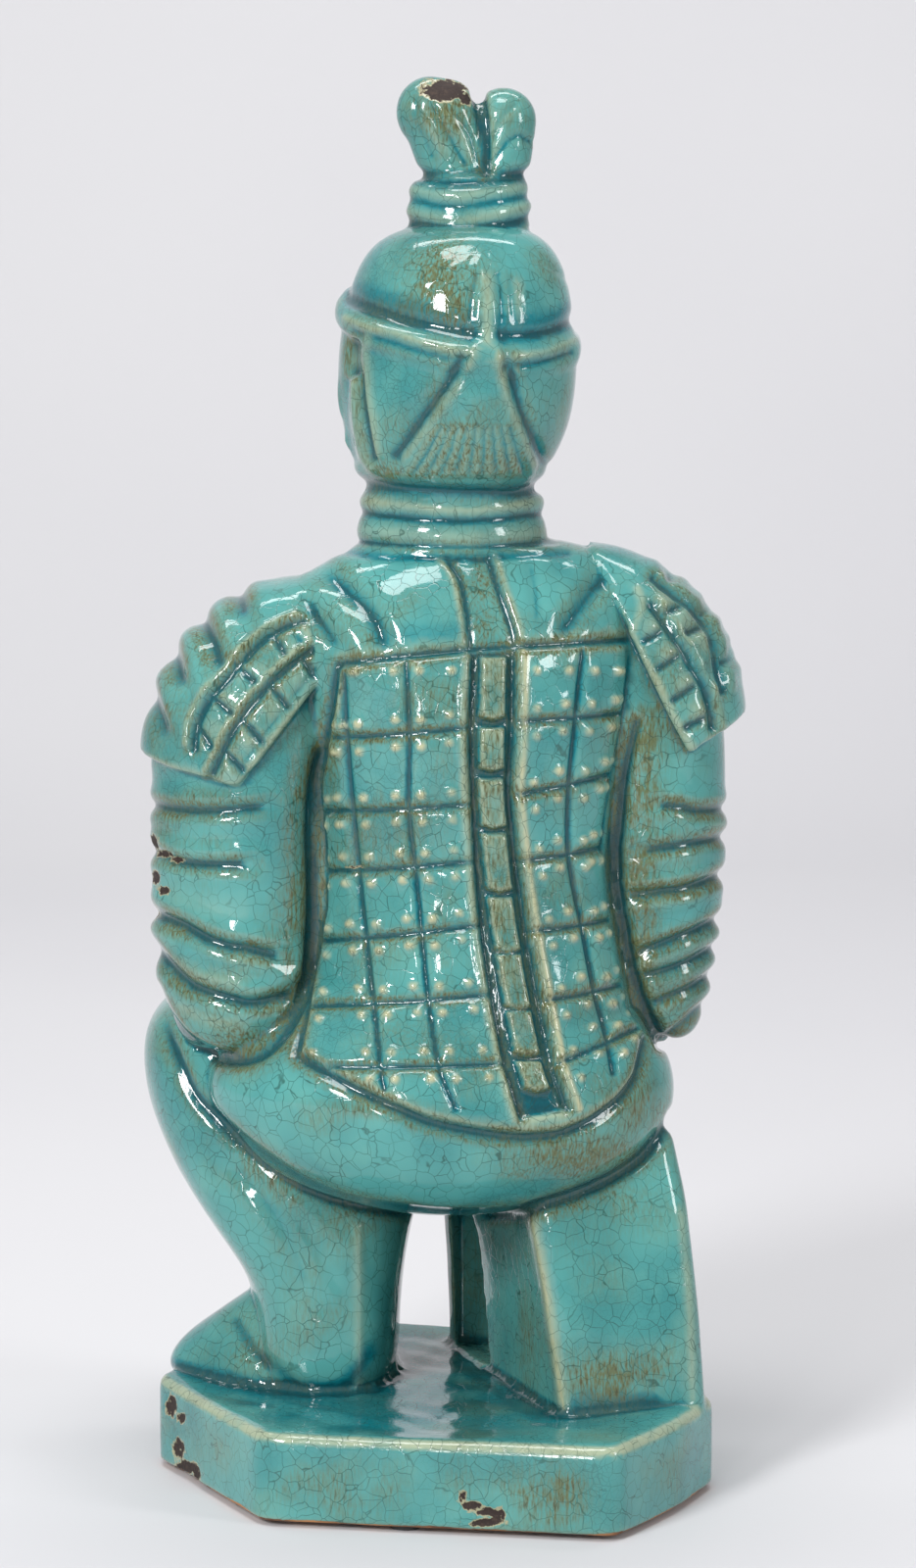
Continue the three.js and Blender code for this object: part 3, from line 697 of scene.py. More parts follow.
def ridge(points, width, height, where, plan=None, pale=0.0):
    """Lays a rounded ridge along a line; pale is how far the glaze has run off it."""
    index, gap, _ = near_line(flowing(points), width * 2.6, CHART if plan is None else plan)
    fall = np.exp(-(gap / width) ** 2) * where[index]
    raised[index] += height * fall
    deepen(cream, index, pale * fall)


def fold(points, width, depth, where, tint=0.0, plan=None, stain=0.0):
    """Groove that fades at its ends, with a full roll of cloth on both its sides."""
    line = flowing(points)
    index, gap, _ = near_line(line, width * 4.5, CHART if plan is None else plan)
    spot = (CHART if plan is None else plan)[index]
    ends = np.minimum(np.hypot(*(spot - line[0]).T), np.hypot(*(spot - line[-1]).T))
    mask = where[index] * ease(0, 3.2 * width, ends)
    fall = np.exp(-(gap / width) ** 2) * mask
    deepen(cut_depth, index, depth * fall)
    raised[index] += 0.35 * depth * np.exp(-((gap - 2.4 * width) / (1.3 * width)) ** 2) * mask
    deepen(dye, index, tint * fall)
    deepen(rust, index, stain * np.exp(-((gap - 1.3 * width) / (1.1 * width)) ** 2) * mask)


def brush(points, width, where, brown=0.0, pale=0.0, pooled=0.0, plan=None):
    """Paints along a line and leaves the clay as it is."""
    index, gap, _ = near_line(flowing(points), width * 2.6, CHART if plan is None else plan)
    fall = np.exp(-(gap / width) ** 2) * where[index]
    for layer, amount in ((rust, brown), (cream, pale), (dye, pooled)):
        deepen(layer, index, amount * fall)


def plateau(outline, height, edge, where, plan=None):
    """Lifts all that lies inside an outline, with a soft edge; a negative height sinks it."""
    plan = CHART if plan is None else plan
    line = np.array(outline, dtype=float)
    ring = np.concatenate([line, line[:1]])
    index, gap, _ = near_line(ring, edge * 3, plan)
    within = inside(line, plan)
    level = within.astype(float)
    level[index] = ease(-edge, edge, np.where(within[index], gap, -gap))
    raised[:] += height * level * where
    return level * where


def bump(x, z, size, height, where, plan=None, pale=0.0):
    """Raises one round knob with a pale top."""
    plan = CHART if plan is None else plan
    index = np.where((np.abs(plan - (x, z)) < 3 * size).all(axis=1))[0]
    gap = np.hypot(plan[index, 0] - x, plan[index, 1] - z)
    fall = np.exp(-(gap / size) ** 2) * where[index]
    raised[index] += height * fall
    deepen(cream, index, pale * np.exp(-(gap / (size * 1.15)) ** 4) * where[index])


# Hair, collar and knot
def carve_head():
    head = on("head", near=-22, far=-6)
    # Hollow above the hair band, left and right of the middle
    groove([(26, 380.5), (17, 377), (4, 373.5), (-8, 371), (-13, 370)], 2.3, 1.5, head, 0.8)
    groove([(-21, 369.5), (-30, 369.5), (-38, 371), (-45, 375)], 2.3, 1.4, head, 0.8)
    brush([(27, 384.5), (17, 381), (4, 377.5), (-8, 375), (-13, 374)], 3.6, head, pooled=0.7)
    brush([(-21, 373.5), (-30, 373.5), (-38, 375), (-45, 379)], 3.4, head, pooled=0.65)
    # Roll of the hair band and the hollow under it
    ridge([(26.5, 374.5), (19.5, 371.5), (11.5, 370), (4, 367.5), (-3.5, 365.5), (-11.5, 364)], 1.3, 0.55,
          head, pale=0.55)
    ridge([(-20.5, 362.5), (-34.5, 364), (-44, 368)], 1.3, 0.55, head, pale=0.5)
    groove([(24.5, 370.5), (14, 367.5), (3, 364), (-8, 361)], 1.6, 1.1, head, 0.45, stain=0.35)
    groove([(-22.5, 359.5), (-33, 360.8), (-43, 364)], 1.6, 1.1, head, 0.6)
    # Flap of hair that widens downwards from the crown
    left = [(-15.5, 388), (-14, 381.5), (-13.5, 375), (-11.5, 363), (-7, 354.5), (-0.5, 345.5), (9, 332.5)]
    right = [(-18.3, 388), (-19.5, 381.5), (-20, 375), (-21.3, 362.5), (-24, 351), (-27.5, 341.5),
             (-32.5, 330)]
    plateau([(-15.5, 389)] + left[1:] + [(9, 326), (-31, 326)] + right[:0:-1], 1.0, 1.3, head)
    groove([(x + 2.4, z) for x, z in left[3:]], 2.0, 1.2, head, 0.7, stain=0.3)
    groove([(x - 2.4, z) for x, z in right[3:]], 1.8, 1.2, head, 0.65, stain=0.4)
    groove([(x + 2.0, z) for x, z in left[:3]], 1.3, 0.5, head, 0.15)
    groove([(x - 2.0, z) for x, z in right[:3]], 1.3, 0.6, head, 0.3)
    brush([(-16.8, 387), (-16.8, 381), (-16.8, 373), (-16.8, 367)], 1.8, head, pale=0.55)
    brush([(x - 1.2, z) for x, z in left[4:]], 1.5, head, pale=0.35)
    brush([(x + 1.2, z) for x, z in right[3:]], 1.4, head, pale=0.5)
    groove([(-24.5, 386), (-24.8, 380), (-25.5, 374)], 1.3, 0.5, head, 0.1, stain=0.3)
    brush([(-26.3, 386), (-26.8, 380), (-27.2, 374.5)], 1.3, head, pale=0.4)
    # Comb strokes at the foot of the flap and over the crown
    for k in range(9):
        start = -28 + 4.2 * k
        comb = [(start, 327), (start * 0.8 - 3.5, 334), (start * 0.62 - 6.5, 341)]
        groove(comb, 0.9, 0.6, head, 0.3, stain=0.7)
        brush([(x + 2, z) for x, z in comb], 0.8, head, pale=0.35)
    for k in range(7):
        lean = k - 3
        groove([(-17 + lean * 2.5, 396), (-17 + lean * 7, 389), (-17 + lean * 10.5, 379)], 0.8, 0.28,
               head, 0.1)
    carve_ear(head)


def carve_ear(head):
    ridge([(23.6, 355), (23.2, 345), (21.5, 334), (18.5, 328.5)], 1.5, 1.2, head, pale=0.35)
    ridge([(20.2, 369), (19.6, 356), (17.8, 342), (16.5, 333)], 1.4, 0.9, head, pale=0.4)
    groove([(22, 357), (21.6, 349), (20, 339), (18.2, 331.5)], 1.2, 1.5, head, 0.5, stain=0.5)
    groove([(26.5, 355), (27, 343), (24.5, 331)], 1.6, 1.0, head, 0.35, stain=0.3)
    groove([(24.2, 366.5), (24.4, 362), (23.8, 358)], 1.7, 1.9, head, 0.5, stain=0.8)
    brush([(24.6, 365), (24.6, 361)], 1.3, head, brown=0.5, pale=0.4)


def carve_collar():
    collar = on("scarf", "torso", near=-90, far=-80)
    neck = on("head", "scarf", near=-30, far=-10)
    groove([(24, 324), (16.5, 323), (4, 321.5), (-11.5, 320.7), (-27, 321), (-35, 323.5)], 1.9, 1.5, neck,
           1.0, stain=0.35)
    brush([(24, 324.5), (16.5, 323.5), (4, 322), (-11.5, 321.2), (-27, 321.5), (-35, 324)], 2.7, neck,
          pooled=0.9)
    ridge([(26, 319), (14, 317.6), (4.5, 316.8), (-12.5, 316), (-35, 318.5)], 1.8, 0.5, collar, pale=0.6)
    groove([(25, 315.3), (14, 313.7), (4.5, 312.8), (-12.5, 312.1), (-36, 314.5)], 1.5, 0.8, collar, 0.75,
           stain=0.2)
    ridge([(26, 309.8), (14, 308.6), (4.5, 308), (-12.5, 307), (-36, 308.8)], 2.2, 0.5, collar, pale=0.35)
    groove([(28, 306.5), (14, 305.2), (4.5, 304.6), (-12.5, 304.2), (-38, 305.5)], 1.0, 0.7, collar, 0.3,
           stain=0.5)
    groove([(30, 303), (14, 301.2), (4.5, 301), (-12.5, 301), (-42, 302.5)], 1.6, 0.8, collar, 0.6)


def carve_knot():
    knot = on("knot", near=-90, far=-80)
    # Rings of the binding
    groove([(7, 419), (-5, 416.5), (-16.5, 417), (-30, 418.5)], 1.9, 1.6, knot, 1.0, stain=0.3)
    groove([(8, 411), (-5, 408.5), (-16.5, 409.5), (-32, 412)], 1.6, 0.6, knot, 0.6)
    groove([(7, 404.5), (-7, 400.5), (-18.5, 402), (-32, 406)], 1.8, 0.7, knot, 0.7)
    groove([(6, 403), (-2.5, 396.5), (-10, 393.5), (-18.5, 392.5), (-26, 395.5), (-31, 401)], 1.7, 0.9,
           knot, 0.5, stain=0.7)
    ridge([(7, 414), (-5, 411.8), (-16.5, 413), (-31, 415)], 1.7, 0.4, knot, pale=0.4)
    brush([(7, 418.5), (-5, 416), (-16.5, 416.5), (-30, 418)], 2.9, knot, pooled=0.9)
    ridge([(7, 406.8), (-8, 404.2), (-18.5, 406), (-31, 409)], 1.7, 0.45, knot, pale=0.45)
    ridge([(2, 400), (-8, 396.6), (-19, 397), (-29, 401)], 1.1, 0.4, knot, pale=0.4)
    # Parting between the loops and strands on each of them
    groove([(-13.5, 446), (-15, 438.5), (-16, 430.5), (-16.5, 420)], 1.7, 2.6, knot, 1.0, stain=0.6)
    groove([(5, 441), (4.5, 433.5), (0, 424)], 1.0, 0.7, knot, 0.1, stain=0.4)
    groove([(-0.5, 438.5), (-4.5, 431.5), (-10, 422)], 1.1, 0.9, knot, 0.2, stain=0.5)
    groove([(-5, 438.5), (-11, 431.5), (-14, 423)], 0.9, 0.7, knot, 0.2, stain=0.5)
    groove([(-19, 422), (-22.5, 427.5), (-26.5, 430), (-30, 428.5)], 1.1, 0.9, knot, 0.2, stain=0.3)
    groove([(-18.5, 429), (-22, 435.5), (-25.5, 440)], 1.0, 0.7, knot, 0.1, stain=0.3)
    for line in ([(2.5, 440), (0, 432), (-5, 424)], [(-3, 440), (-8, 432), (-12, 424)],
                 [(-20, 432), (-23, 436)]):
        brush(line, 1.1, knot, pale=0.4)


# Yoke and back armour
SPINE_LEFT = [(-12, 271), (-11, 246), (-12, 222), (-13, 203), (-15, 182), (-18, 163), (-22, 142),
              (-27, 125)]
SPINE_RIGHT = [(-26, 272), (-26, 248), (-25, 228), (-27, 207), (-30, 185), (-34, 163), (-38, 143),
               (-43, 128)]
COLUMN_A = [(27, 265), (26, 245), (24, 222), (22, 201), (20, 181), (18, 160), (16, 140), (15, 134)]
COLUMN_B = [(8, 269), (7, 246), (7, 222), (5, 203), (3, 182), (1, 161), (-2, 141), (-7, 128)]
COLUMN_C = [(-46, 272), (-44, 251), (-42, 229), (-42, 208), (-46, 186), (-50, 165), (-54, 150), (-56, 139)]
COLUMN_D = [(-61, 273), (-59, 252), (-55, 231), (-52, 210)]
BORDER_LEFT = [(28, 266), (31, 247), (36, 221), (36, 204), (35, 181), (38, 159), (41, 145)]
BORDER_RIGHT = [(-62, 275), (-62, 252), (-58, 233), (-56, 214), (-55, 197), (-58, 183), (-61, 170),
                (-66, 152)]
HEM = [(41, 146), (26, 137), (12.5, 130.5), (3, 126.3), (-6.5, 123.7), (-19.5, 121.4), (-29.5, 120.6),
       (-39, 121.5), (-48.5, 125.3), (-57, 131.5), (-63, 139), (-66, 152)]
ROWS_LEFT = [((31, 245), (-11, 248)), ((36, 222), (-12, 224)), ((36, 203), (-12, 206)),
             ((34, 181), (-15, 186)), ((40, 160), (-18, 164)), ((36, 141), (-22, 142))]
ROWS_RIGHT = [((-27, 250), (-60, 253)), ((-26, 227), (-56, 234)), ((-26, 206), (-54, 211)),
              ((-30, 184), (-56, 188)), ((-34, 162), (-61, 168)), ((-39, 142), (-65, 154))]
TABS = [(270, 251), (248, 235), (232, 217), (215, 197), (195, 178), (177, 160), (159, 145), (143, 134)]


def at_height(line, z):
    """Where a line that runs down the back crosses a height."""
    return float(np.interp(-z, [-q[1] for q in line], [q[0] for q in line]))


def carve_yoke():
    yoke = on("torso", near=0, far=10) + 0.6 * on("guard_left", "guard_right", near=0, far=10)
    yoke = np.clip(yoke, 0, 1)
    flap_left = [(-3.5, 301.5), (-8.5, 294.5), (-11, 282.5), (-12, 272)]
    flap_right = [(-17.5, 301.5), (-20.5, 292), (-24.5, 280.5), (-26, 274)]
    # Sunken strip between the collar and the spine, with rolled edges
    plateau(flap_left + flap_right[::-1], -0.9, 0.8, yoke)
    groove(flap_left, 1.1, 1.3, yoke, 0.9, stain=0.6)
    groove(flap_right, 1.1, 1.2, yoke, 0.8, stain=0.6)
    ridge([(x + 2.2, z) for x, z in flap_left], 1.0, 0.6, yoke, pale=0.45)
    ridge([(x - 2.2, z) for x, z in flap_right], 1.0, 0.6, yoke, pale=0.5)
    # Folds of the cloth
    fold([(36, 299), (25.5, 290), (18, 281.5), (13.5, 268)], 2.9, 1.5, yoke, 0.7, stain=0.5)
    fold([(-56, 299), (-46.5, 286), (-37.5, 273)], 2.8, 1.4, yoke, 0.6, stain=0.4)
    fold([(45, 294), (36, 283), (28, 270)], 2.2, 1.1, yoke, 0.4, stain=0.4)
    fold([(-30, 302), (-32, 291), (-33, 279)], 1.8, 0.7, yoke, 0.1)
    # Painted highlight: the pale in these two lines is a light line along the yoke's lower edge; their
    # brown is stain.
    brush([(29, 270.5), (8, 272.5), (-12, 274.5)], 1.3, yoke, pale=0.35, brown=0.4)
    brush([(-26, 275), (-44, 276.5), (-62, 277.5)], 1.3, yoke, pale=0.35, brown=0.5)
    brush([(14, 277), (0, 277.5), (-9, 278)], 4.0, yoke, pooled=0.4)
    brush([(-33, 280), (-48, 281)], 4.0, yoke, pooled=0.35)


def carve_armour():
    back = on("torso", "robe", near=14, far=24)
    outline = [(28, 268), (8, 270), (-12, 272), (-36, 273.5),
               (-62, 275)] + BORDER_RIGHT[1:] + HEM[::-1] + BORDER_LEFT[::-1]
    # Raised shell with a hollow all round it
    shell = plateau(outline, 1.5, 0.9, back)
    groove([(29, 267.5), (8, 270), (-12, 272), (-36, 273.5), (-62, 275)], 1.4, 1.9, back, 1.0, stain=0.9)
    groove([(x + 1.8, z) for x, z in BORDER_LEFT], 1.6, 1.3, back, 1.0, stain=0.75)
    groove([(x - 1.8, z) for x, z in BORDER_RIGHT], 1.6, 1.3, back, 1.0, stain=0.75)
    groove([(x, z - 2.0) for x, z in HEM], 1.8, 1.5, back, 1.0, stain=0.7)
    brush([(x, z + 1.0) for x, z in HEM[1:-1]], 1.2, back, pale=0.5)
    # Seams between the plates
    plates = back * shell
    for line in (COLUMN_A, COLUMN_B, COLUMN_C, COLUMN_D):
        groove(line, 1.05, 1.4, plates, 1.0)
    for a, b in ROWS_LEFT + ROWS_RIGHT:
        middle = ((a[0] + b[0]) / 2, (a[1] + b[1]) / 2 - 0.5)
        groove([a, middle, b], 1.05, 1.4, plates, 0.85, stain=0.8)
    carve_spine(plates)
    carve_studs(plates)


def carve_spine(plates):
    """Sunken channel down the middle with a column of tongue-shaped tabs in it."""
    channel = plateau(SPINE_LEFT + SPINE_RIGHT[::-1], -2.6, 0.7, plates)
    for line, shift, pale in ((SPINE_LEFT, 1.8, 0.45), (SPINE_RIGHT, -2.2, 0.95)):
        ridge([(x + shift, z) for x, z in line], 1.2, 0.7, plates, pale=pale)
        groove([(x - shift * 0.4, z) for x, z in line], 1.0, 0.8, plates, 1.0, stain=0.7)
    dye[:] = np.maximum(dye, 0.95 * channel)
    for z_top, z_low in TABS:
        z = (z_top + z_low) / 2
        x = (at_height(SPINE_LEFT, z) + at_height(SPINE_RIGHT, z)) / 2
        lean = (at_height(SPINE_LEFT, z_low) + at_height(SPINE_RIGHT, z_low)) / 2 - x
        half, drop = 3.9, 0.6
        corners = [(x - half - lean, z_top), (x + half - lean, z_top), (x + half, z),
                   (x + half + lean, z_low + drop), (x + lean, z_low - drop),
                   (x - half + lean, z_low + drop), (x - half, z)]
        tab = plateau(corners, 2.6, 0.7, plates)
        dye[:] = dye * (1 - tab)
        rust[:] = np.maximum(rust * (1 - tab), 0.55 * tab)
        ridge([corners[3], corners[4], corners[5]], 0.9, 0.5, plates)
        brush([corners[3], corners[4], corners[5]], 1.0, plates, brown=1.0)
        # Painted highlight: a pale cream stripe down the upper half of each tab.
        brush([(x - lean, z_top - 3), (x, z)], 1.6, plates, pale=0.3)


def carve_studs(plates):
    """Pairs of studs above and below each seam, on both sides of each column."""
    for rows, lines in ((ROWS_LEFT, (COLUMN_A, COLUMN_B)), (ROWS_RIGHT, (COLUMN_C, COLUMN_D))):
        border = BORDER_LEFT if rows is ROWS_LEFT else BORDER_RIGHT
        spine = SPINE_LEFT if rows is ROWS_LEFT else SPINE_RIGHT
        inward = -1 if rows is ROWS_LEFT else 1
        for k, (a, b) in enumerate([((0, 272), (1, 272))] + list(rows)):
            for line in lines:
                z = 270.5 if k == 0 else float(np.interp(at_height(line, a[1]), *zip(*sorted((a, b)))))
                if z < line[-1][1] - 1 and line is not COLUMN_D:
                    continue
                if line is COLUMN_D and k > 3:
                    continue
                for rise in ((-4.8,) if k == 0 else (4.0, -4.4)):
                    x = at_height(line, z + rise)
                    for side in (-3.9, 3.9):
                        bump(x + side, z + rise, 1.3, 1.25, plates, pale=0.95)
            for line, shift in ((border, inward * 3.9), (spine, -inward * 5.8)):
                z = 270.5 if k == 0 else float(np.interp(at_height(line, (a[1] + b[1]) / 2),
                                                         *zip(*sorted((a, b)))))
                for rise in ((-4.8,) if k == 0 else (4.0, -4.4)):
                    bump(at_height(line, z + rise) + shift, z + rise, 1.25, 1.1, plates, pale=0.85)


# Shoulder guards
def carve_guards():
    left = on("guard_left", near=-20, far=-4)
    lobes = on("guard_left", "arm_left", near=-36, far=-12)
    # Lobes of the outer edge
    for line in ([(62, 297), (59.5, 289), (58.5, 280)],
                 [(76, 287), (71.5, 282), (68.5, 275.5), (65, 264)],
                 [(86, 275), (80.5, 271.5), (77.5, 258)], [(93, 265), (86.5, 257), (82.5, 242)]):
        fold(line, 2.4, 1.8, lobes, 0.8, stain=0.8)
    # Two banded rows with notches
    ridge_out = [(42, 283), (47.5, 281.5), (55, 276.5), (63.5, 267.5), (72, 257), (75.5, 249), (76, 243)]
    ridge_mid = [(37.5, 275), (44, 270.5), (51.5, 264), (59.5, 255), (65, 246.5), (70.5, 235)]
    for line in (ridge_out, ridge_mid):
        ridge(line, 1.2, 1.0, left, pale=0.35)
        groove([(x - 2.0, z - 1.8) for x, z in line], 1.4, 1.7, left, 0.9, stain=0.7)
    for a, b in (((49.5, 277.5), (46, 271.5)), ((61, 268), (55.5, 262.5)), ((68.5, 258), (62.5, 252.5)),
                 ((73.5, 249), (69, 242)), ((40, 270), (36.5, 264)), ((50, 261), (44.5, 254.5)),
                 ((58.5, 250), (53, 243.5)), ((65, 241), (59, 234.5))):
        groove([a, b], 1.3, 1.5, left, 1.0, stain=0.4)
    for x, z in ((45, 266), (53.5, 257), (61, 247), (66.5, 237), (48, 274.5), (57.5, 268), (66, 259.5),
                 (71.5, 251)):
        bump(x - 3.5, z - 3.0, 3.0, 0.5, left, pale=0.3)
    ridge([(42, 283), (38, 276.5), (31.5, 268.5), (36.5, 261.5), (44, 251), (51.5, 241), (57.5, 232)],
          1.5, 0.7, left, pale=0.5)
    groove([(45, 281), (41, 275), (35.5, 268), (40, 261.5), (47, 252.5), (54, 243), (60, 234.5)], 1.0,
           0.5, left, 0.2)
    brush([(88, 237), (75.5, 234), (64, 230.5), (58.5, 231.5)], 1.5, left, pale=0.45)
    carve_right_guard()


def carve_right_guard():
    right = on("guard_right", near=-24, far=-10)
    rows = ([(-68, 286), (-74, 277.5), (-78.5, 271), (-82, 264), (-85, 259), (-87.5, 248)],
            [(-68.5, 294.5), (-76, 288.5), (-83.5, 282), (-86.5, 275.5), (-88.5, 268.5), (-90.5, 259.5)])
    for line in rows:
        groove(line, 1.6, 1.8, right, 0.8, stain=0.5)
        ridge([(x - 2.6, z + 0.8) for x, z in line], 1.3, 0.7, right, pale=0.2)
    for x, z in ((-68, 279.5), (-73.5, 271.5), (-78.5, 262), (-83, 253.5), (-71.5, 287.5), (-78, 281.5),
                 (-83.5, 275)):
        bump(x, z, 3.2, 1.0, right, pale=0.4)
    for a, b in (((-66, 275), (-71, 278)), ((-70.5, 266.5), (-76.5, 270.5)), ((-75, 256.5), (-81, 261)),
                 ((-79, 248), (-86, 252)), ((-72, 283.5), (-77, 286)), ((-79, 277.5), (-84.5, 279.5))):
        groove([a, b], 1.3, 1.4, right, 0.8, stain=0.4)
    for line in ([(-74, 299), (-73, 290)], [(-87, 287), (-81, 280)], [(-94, 272), (-87, 265)]):
        fold(line, 1.9, 1.9, right, 0.6, stain=0.6)
    rim = [(-63.5, 291), (-65, 285), (-62, 276), (-67, 267), (-71.5, 258), (-75.5, 250.5), (-81, 242)]
    ridge(rim, 1.4, 0.7, right, pale=0.55)
    brush([(x + 2.4, z - 1.0) for x, z in rim[2:]], 1.5,
          np.clip(right + on("arm_right", near=-30, far=-10), 0, 1), brown=0.7)


# Sleeves
def carve_sleeves():
    # Left sleeve: folds, then the hollow between it and the back
    left = on("arm_left", near=-38, far=-14)
    for line, width, depth in (
            ([(100, 225), (86.5, 223.8), (79, 222.5), (66, 222), (50, 223.5)], 1.7, 1.7),
            ([(100, 213), (86.5, 209), (79, 206), (69.5, 205), (56, 205)], 1.7, 1.8),
            ([(100, 197), (86, 189.5), (78, 186), (71, 182), (64, 179.5), (57, 178.5), (46, 175.5)], 1.9,
             2.4),
            ([(96, 190), (85, 176.5), (79.5, 170.5), (74.5, 166.5), (64, 163), (55, 161.5), (41, 165)],
             1.9, 2.3)):
        fold(line, width, 0.8 * depth, left, 0.9, stain=0.75)
    edge = [(84.5, 166.5), (81, 158.5), (77, 153), (71.5, 149.5), (64.5, 147.5), (57, 148), (50, 151.5)]
    brush([(x, z + 1.5) for x, z in edge], 1.8, left, brown=0.6)
    brush([(80, 174), (72, 170), (62, 168)], 2.4, left, pale=0.35)
    brush([(78, 160), (70, 156), (60, 155)], 2.2, left, pale=0.35)
    brush([(80, 195), (70, 192), (60, 190)], 3.0, left, pale=0.15)
    crease = np.clip(on("arm_left", "torso", "robe", near=-6, far=8), 0, 1)
    groove([(34, 240), (36.5, 230), (37.5, 214), (37, 199.5), (37, 189), (38, 176.5), (40, 165.5),
            (43.5, 157), (49, 149.5), (55, 145), (62, 143.5), (70, 145.5), (78, 150.5), (84, 158.5),
            (87, 166)], 2.0, 2.2, crease, 1.0, stain=0.95)
    brush([(41.5, 236), (43.5, 215), (43.5, 190), (45, 172)], 3.4, np.clip(crease + left, 0, 1), brown=0.75)
    brush([(50, 143), (58, 139.5), (66, 140)], 3.0, crease, brown=0.45)
    # Right sleeve, in the same order
    right = on("arm_right", near=-44, far=-24)
    for line, width, depth in (
            ([(-69, 224), (-78, 223), (-83.5, 222), (-98, 224)], 1.6, 1.6),
            ([(-64, 209), (-76.5, 211), (-85, 212.5), (-99, 216)], 1.6, 1.8),
            ([(-58.5, 195), (-71.5, 196.5), (-82, 198.5), (-99, 206)], 1.7, 2.2),
            ([(-61, 176), (-76.5, 182), (-84.5, 185.5), (-98, 193)], 1.6, 2.0),
            ([(-63, 169), (-76.5, 173), (-83.5, 176.5), (-96, 185)], 1.4, 1.6),
            ([(-66, 160), (-76.5, 164.5), (-82.5, 167.5), (-94, 176)], 1.4, 1.6),
            ([(-70, 149), (-78, 154.5), (-82.5, 159), (-92, 167)], 1.3, 1.3)):
        fold(line, width, 0.8 * depth, right, 0.9, stain=0.9)
    crease = np.clip(on("arm_right", "torso", "robe", near=-16, far=-4), 0, 1)
    groove([(-63.5, 249), (-60, 234.5), (-58.5, 220.5), (-57.5, 209.5), (-58, 198), (-60, 185.5),
            (-63, 171), (-67, 159.5), (-72, 148.5)], 1.9, 2.0, crease, 1.0, stain=0.9)
    brush([(-65.5, 250), (-65, 235), (-63.5, 218), (-62.5, 204), (-63.5, 188)], 4.2, crease, brown=0.9)
    brush([(-67, 250), (-66.5, 225), (-65.5, 205), (-66, 186), (-69, 170)], 5.5, right, brown=0.9)


# Seat, legs and plinth
def carve_lower():
    # Edge of the robe over the legs
    seat = np.clip(on("robe", "leg", "block", near=-20, far=0), 0, 1)
    groove([(86, 166), (84.5, 156), (80, 144), (75, 133), (68, 125), (61, 118.5), (54, 113),
            (44.5, 106.5), (36.5, 102), (29, 99), (18.5, 96.5), (8, 95), (-2.5, 94), (-13, 93.8),
            (-26, 94.5), (-32.5, 96.5), (-42.5, 99.5), (-52, 103.5), (-58.5, 107), (-65, 111.5),
            (-70.5, 117.5), (-76, 126)], 2.0, 1.9, seat, 1.0, stain=0.55)
    brush([(58, 111), (50, 104.5), (43, 99)], 4.5, seat, brown=0.55)
    brush([(-28, 92.5), (-40, 95.5), (-56, 101)], 3.0, seat, brown=0.7)
    block = on("block", near=0, far=14)
    ridge([(-31, 95), (-33, 86), (-35.5, 73), (-38, 55), (-40.5, 39), (-41.5, 30)], 1.6, 0.5, block,
          pale=0.85)
    brush([(-78, 95), (-81, 67), (-82, 34)], 1.6, on("block", near=-20, far=0), pale=0.4)
    leg = on("leg", near=-40, far=-20)
    ridge([(23.5, 90), (23.5, 70.5), (23.5, 54), (23.5, 36)], 1.6, 0.6, leg, pale=0.35)
    fold([(66, 114), (52, 98), (44, 84), (39, 66)], 3.0, 1.0, leg, 0.15, stain=0.3)
    fold([(48, 98), (36, 84), (29, 66)], 3.0, 0.7, leg, 0.05)
    groove([(62, 60), (56, 50), (47, 42), (40, 33)], 2.4, 1.1, leg, 0.5, stain=0.3)
    # Hollowed top of the plinth, where the glaze pools round the feet
    top = (P[:, 2] > PLINTH_TOP - 4) & (N[:, 2] > 0.6) & (owner == NAMES.index("plinth"))
    middle = np.hypot(P[:, 0] / 88, P[:, 1] / 84)
    sunk = blur(top.astype(float), 4) * ease(1.0, 0.72, middle)
    raised[:] -= (1.6 - 0.5 * wander(P, 13, 31)) * sunk
    dye[:] = np.maximum(dye, (0.45 + 0.35 * wander(P, 20, 33)) * sunk)
    foot = on("plinth", "leg", "block", near=-40, far=-20)
    brush([(88, 47.5), (70, 43), (52, 39), (38, 38.5), (28, 40), (20, 50)], 2.4, foot, pooled=1.0)
    brush([(-7, 48.5), (-19, 40), (-29.5, 32.5), (-39, 31), (-54, 33), (-70, 35)], 2.4, foot, pooled=1.0)
    slab = blur((owner == NAMES.index("plinth")).astype(float), 3) * ease(18, 24, P[:, 2])
    cream[:] = np.maximum(cream, 0.75 * slab * ease(0.12, 0.4, N[:, 2]) * ease(0.985, 0.85, N[:, 2]))


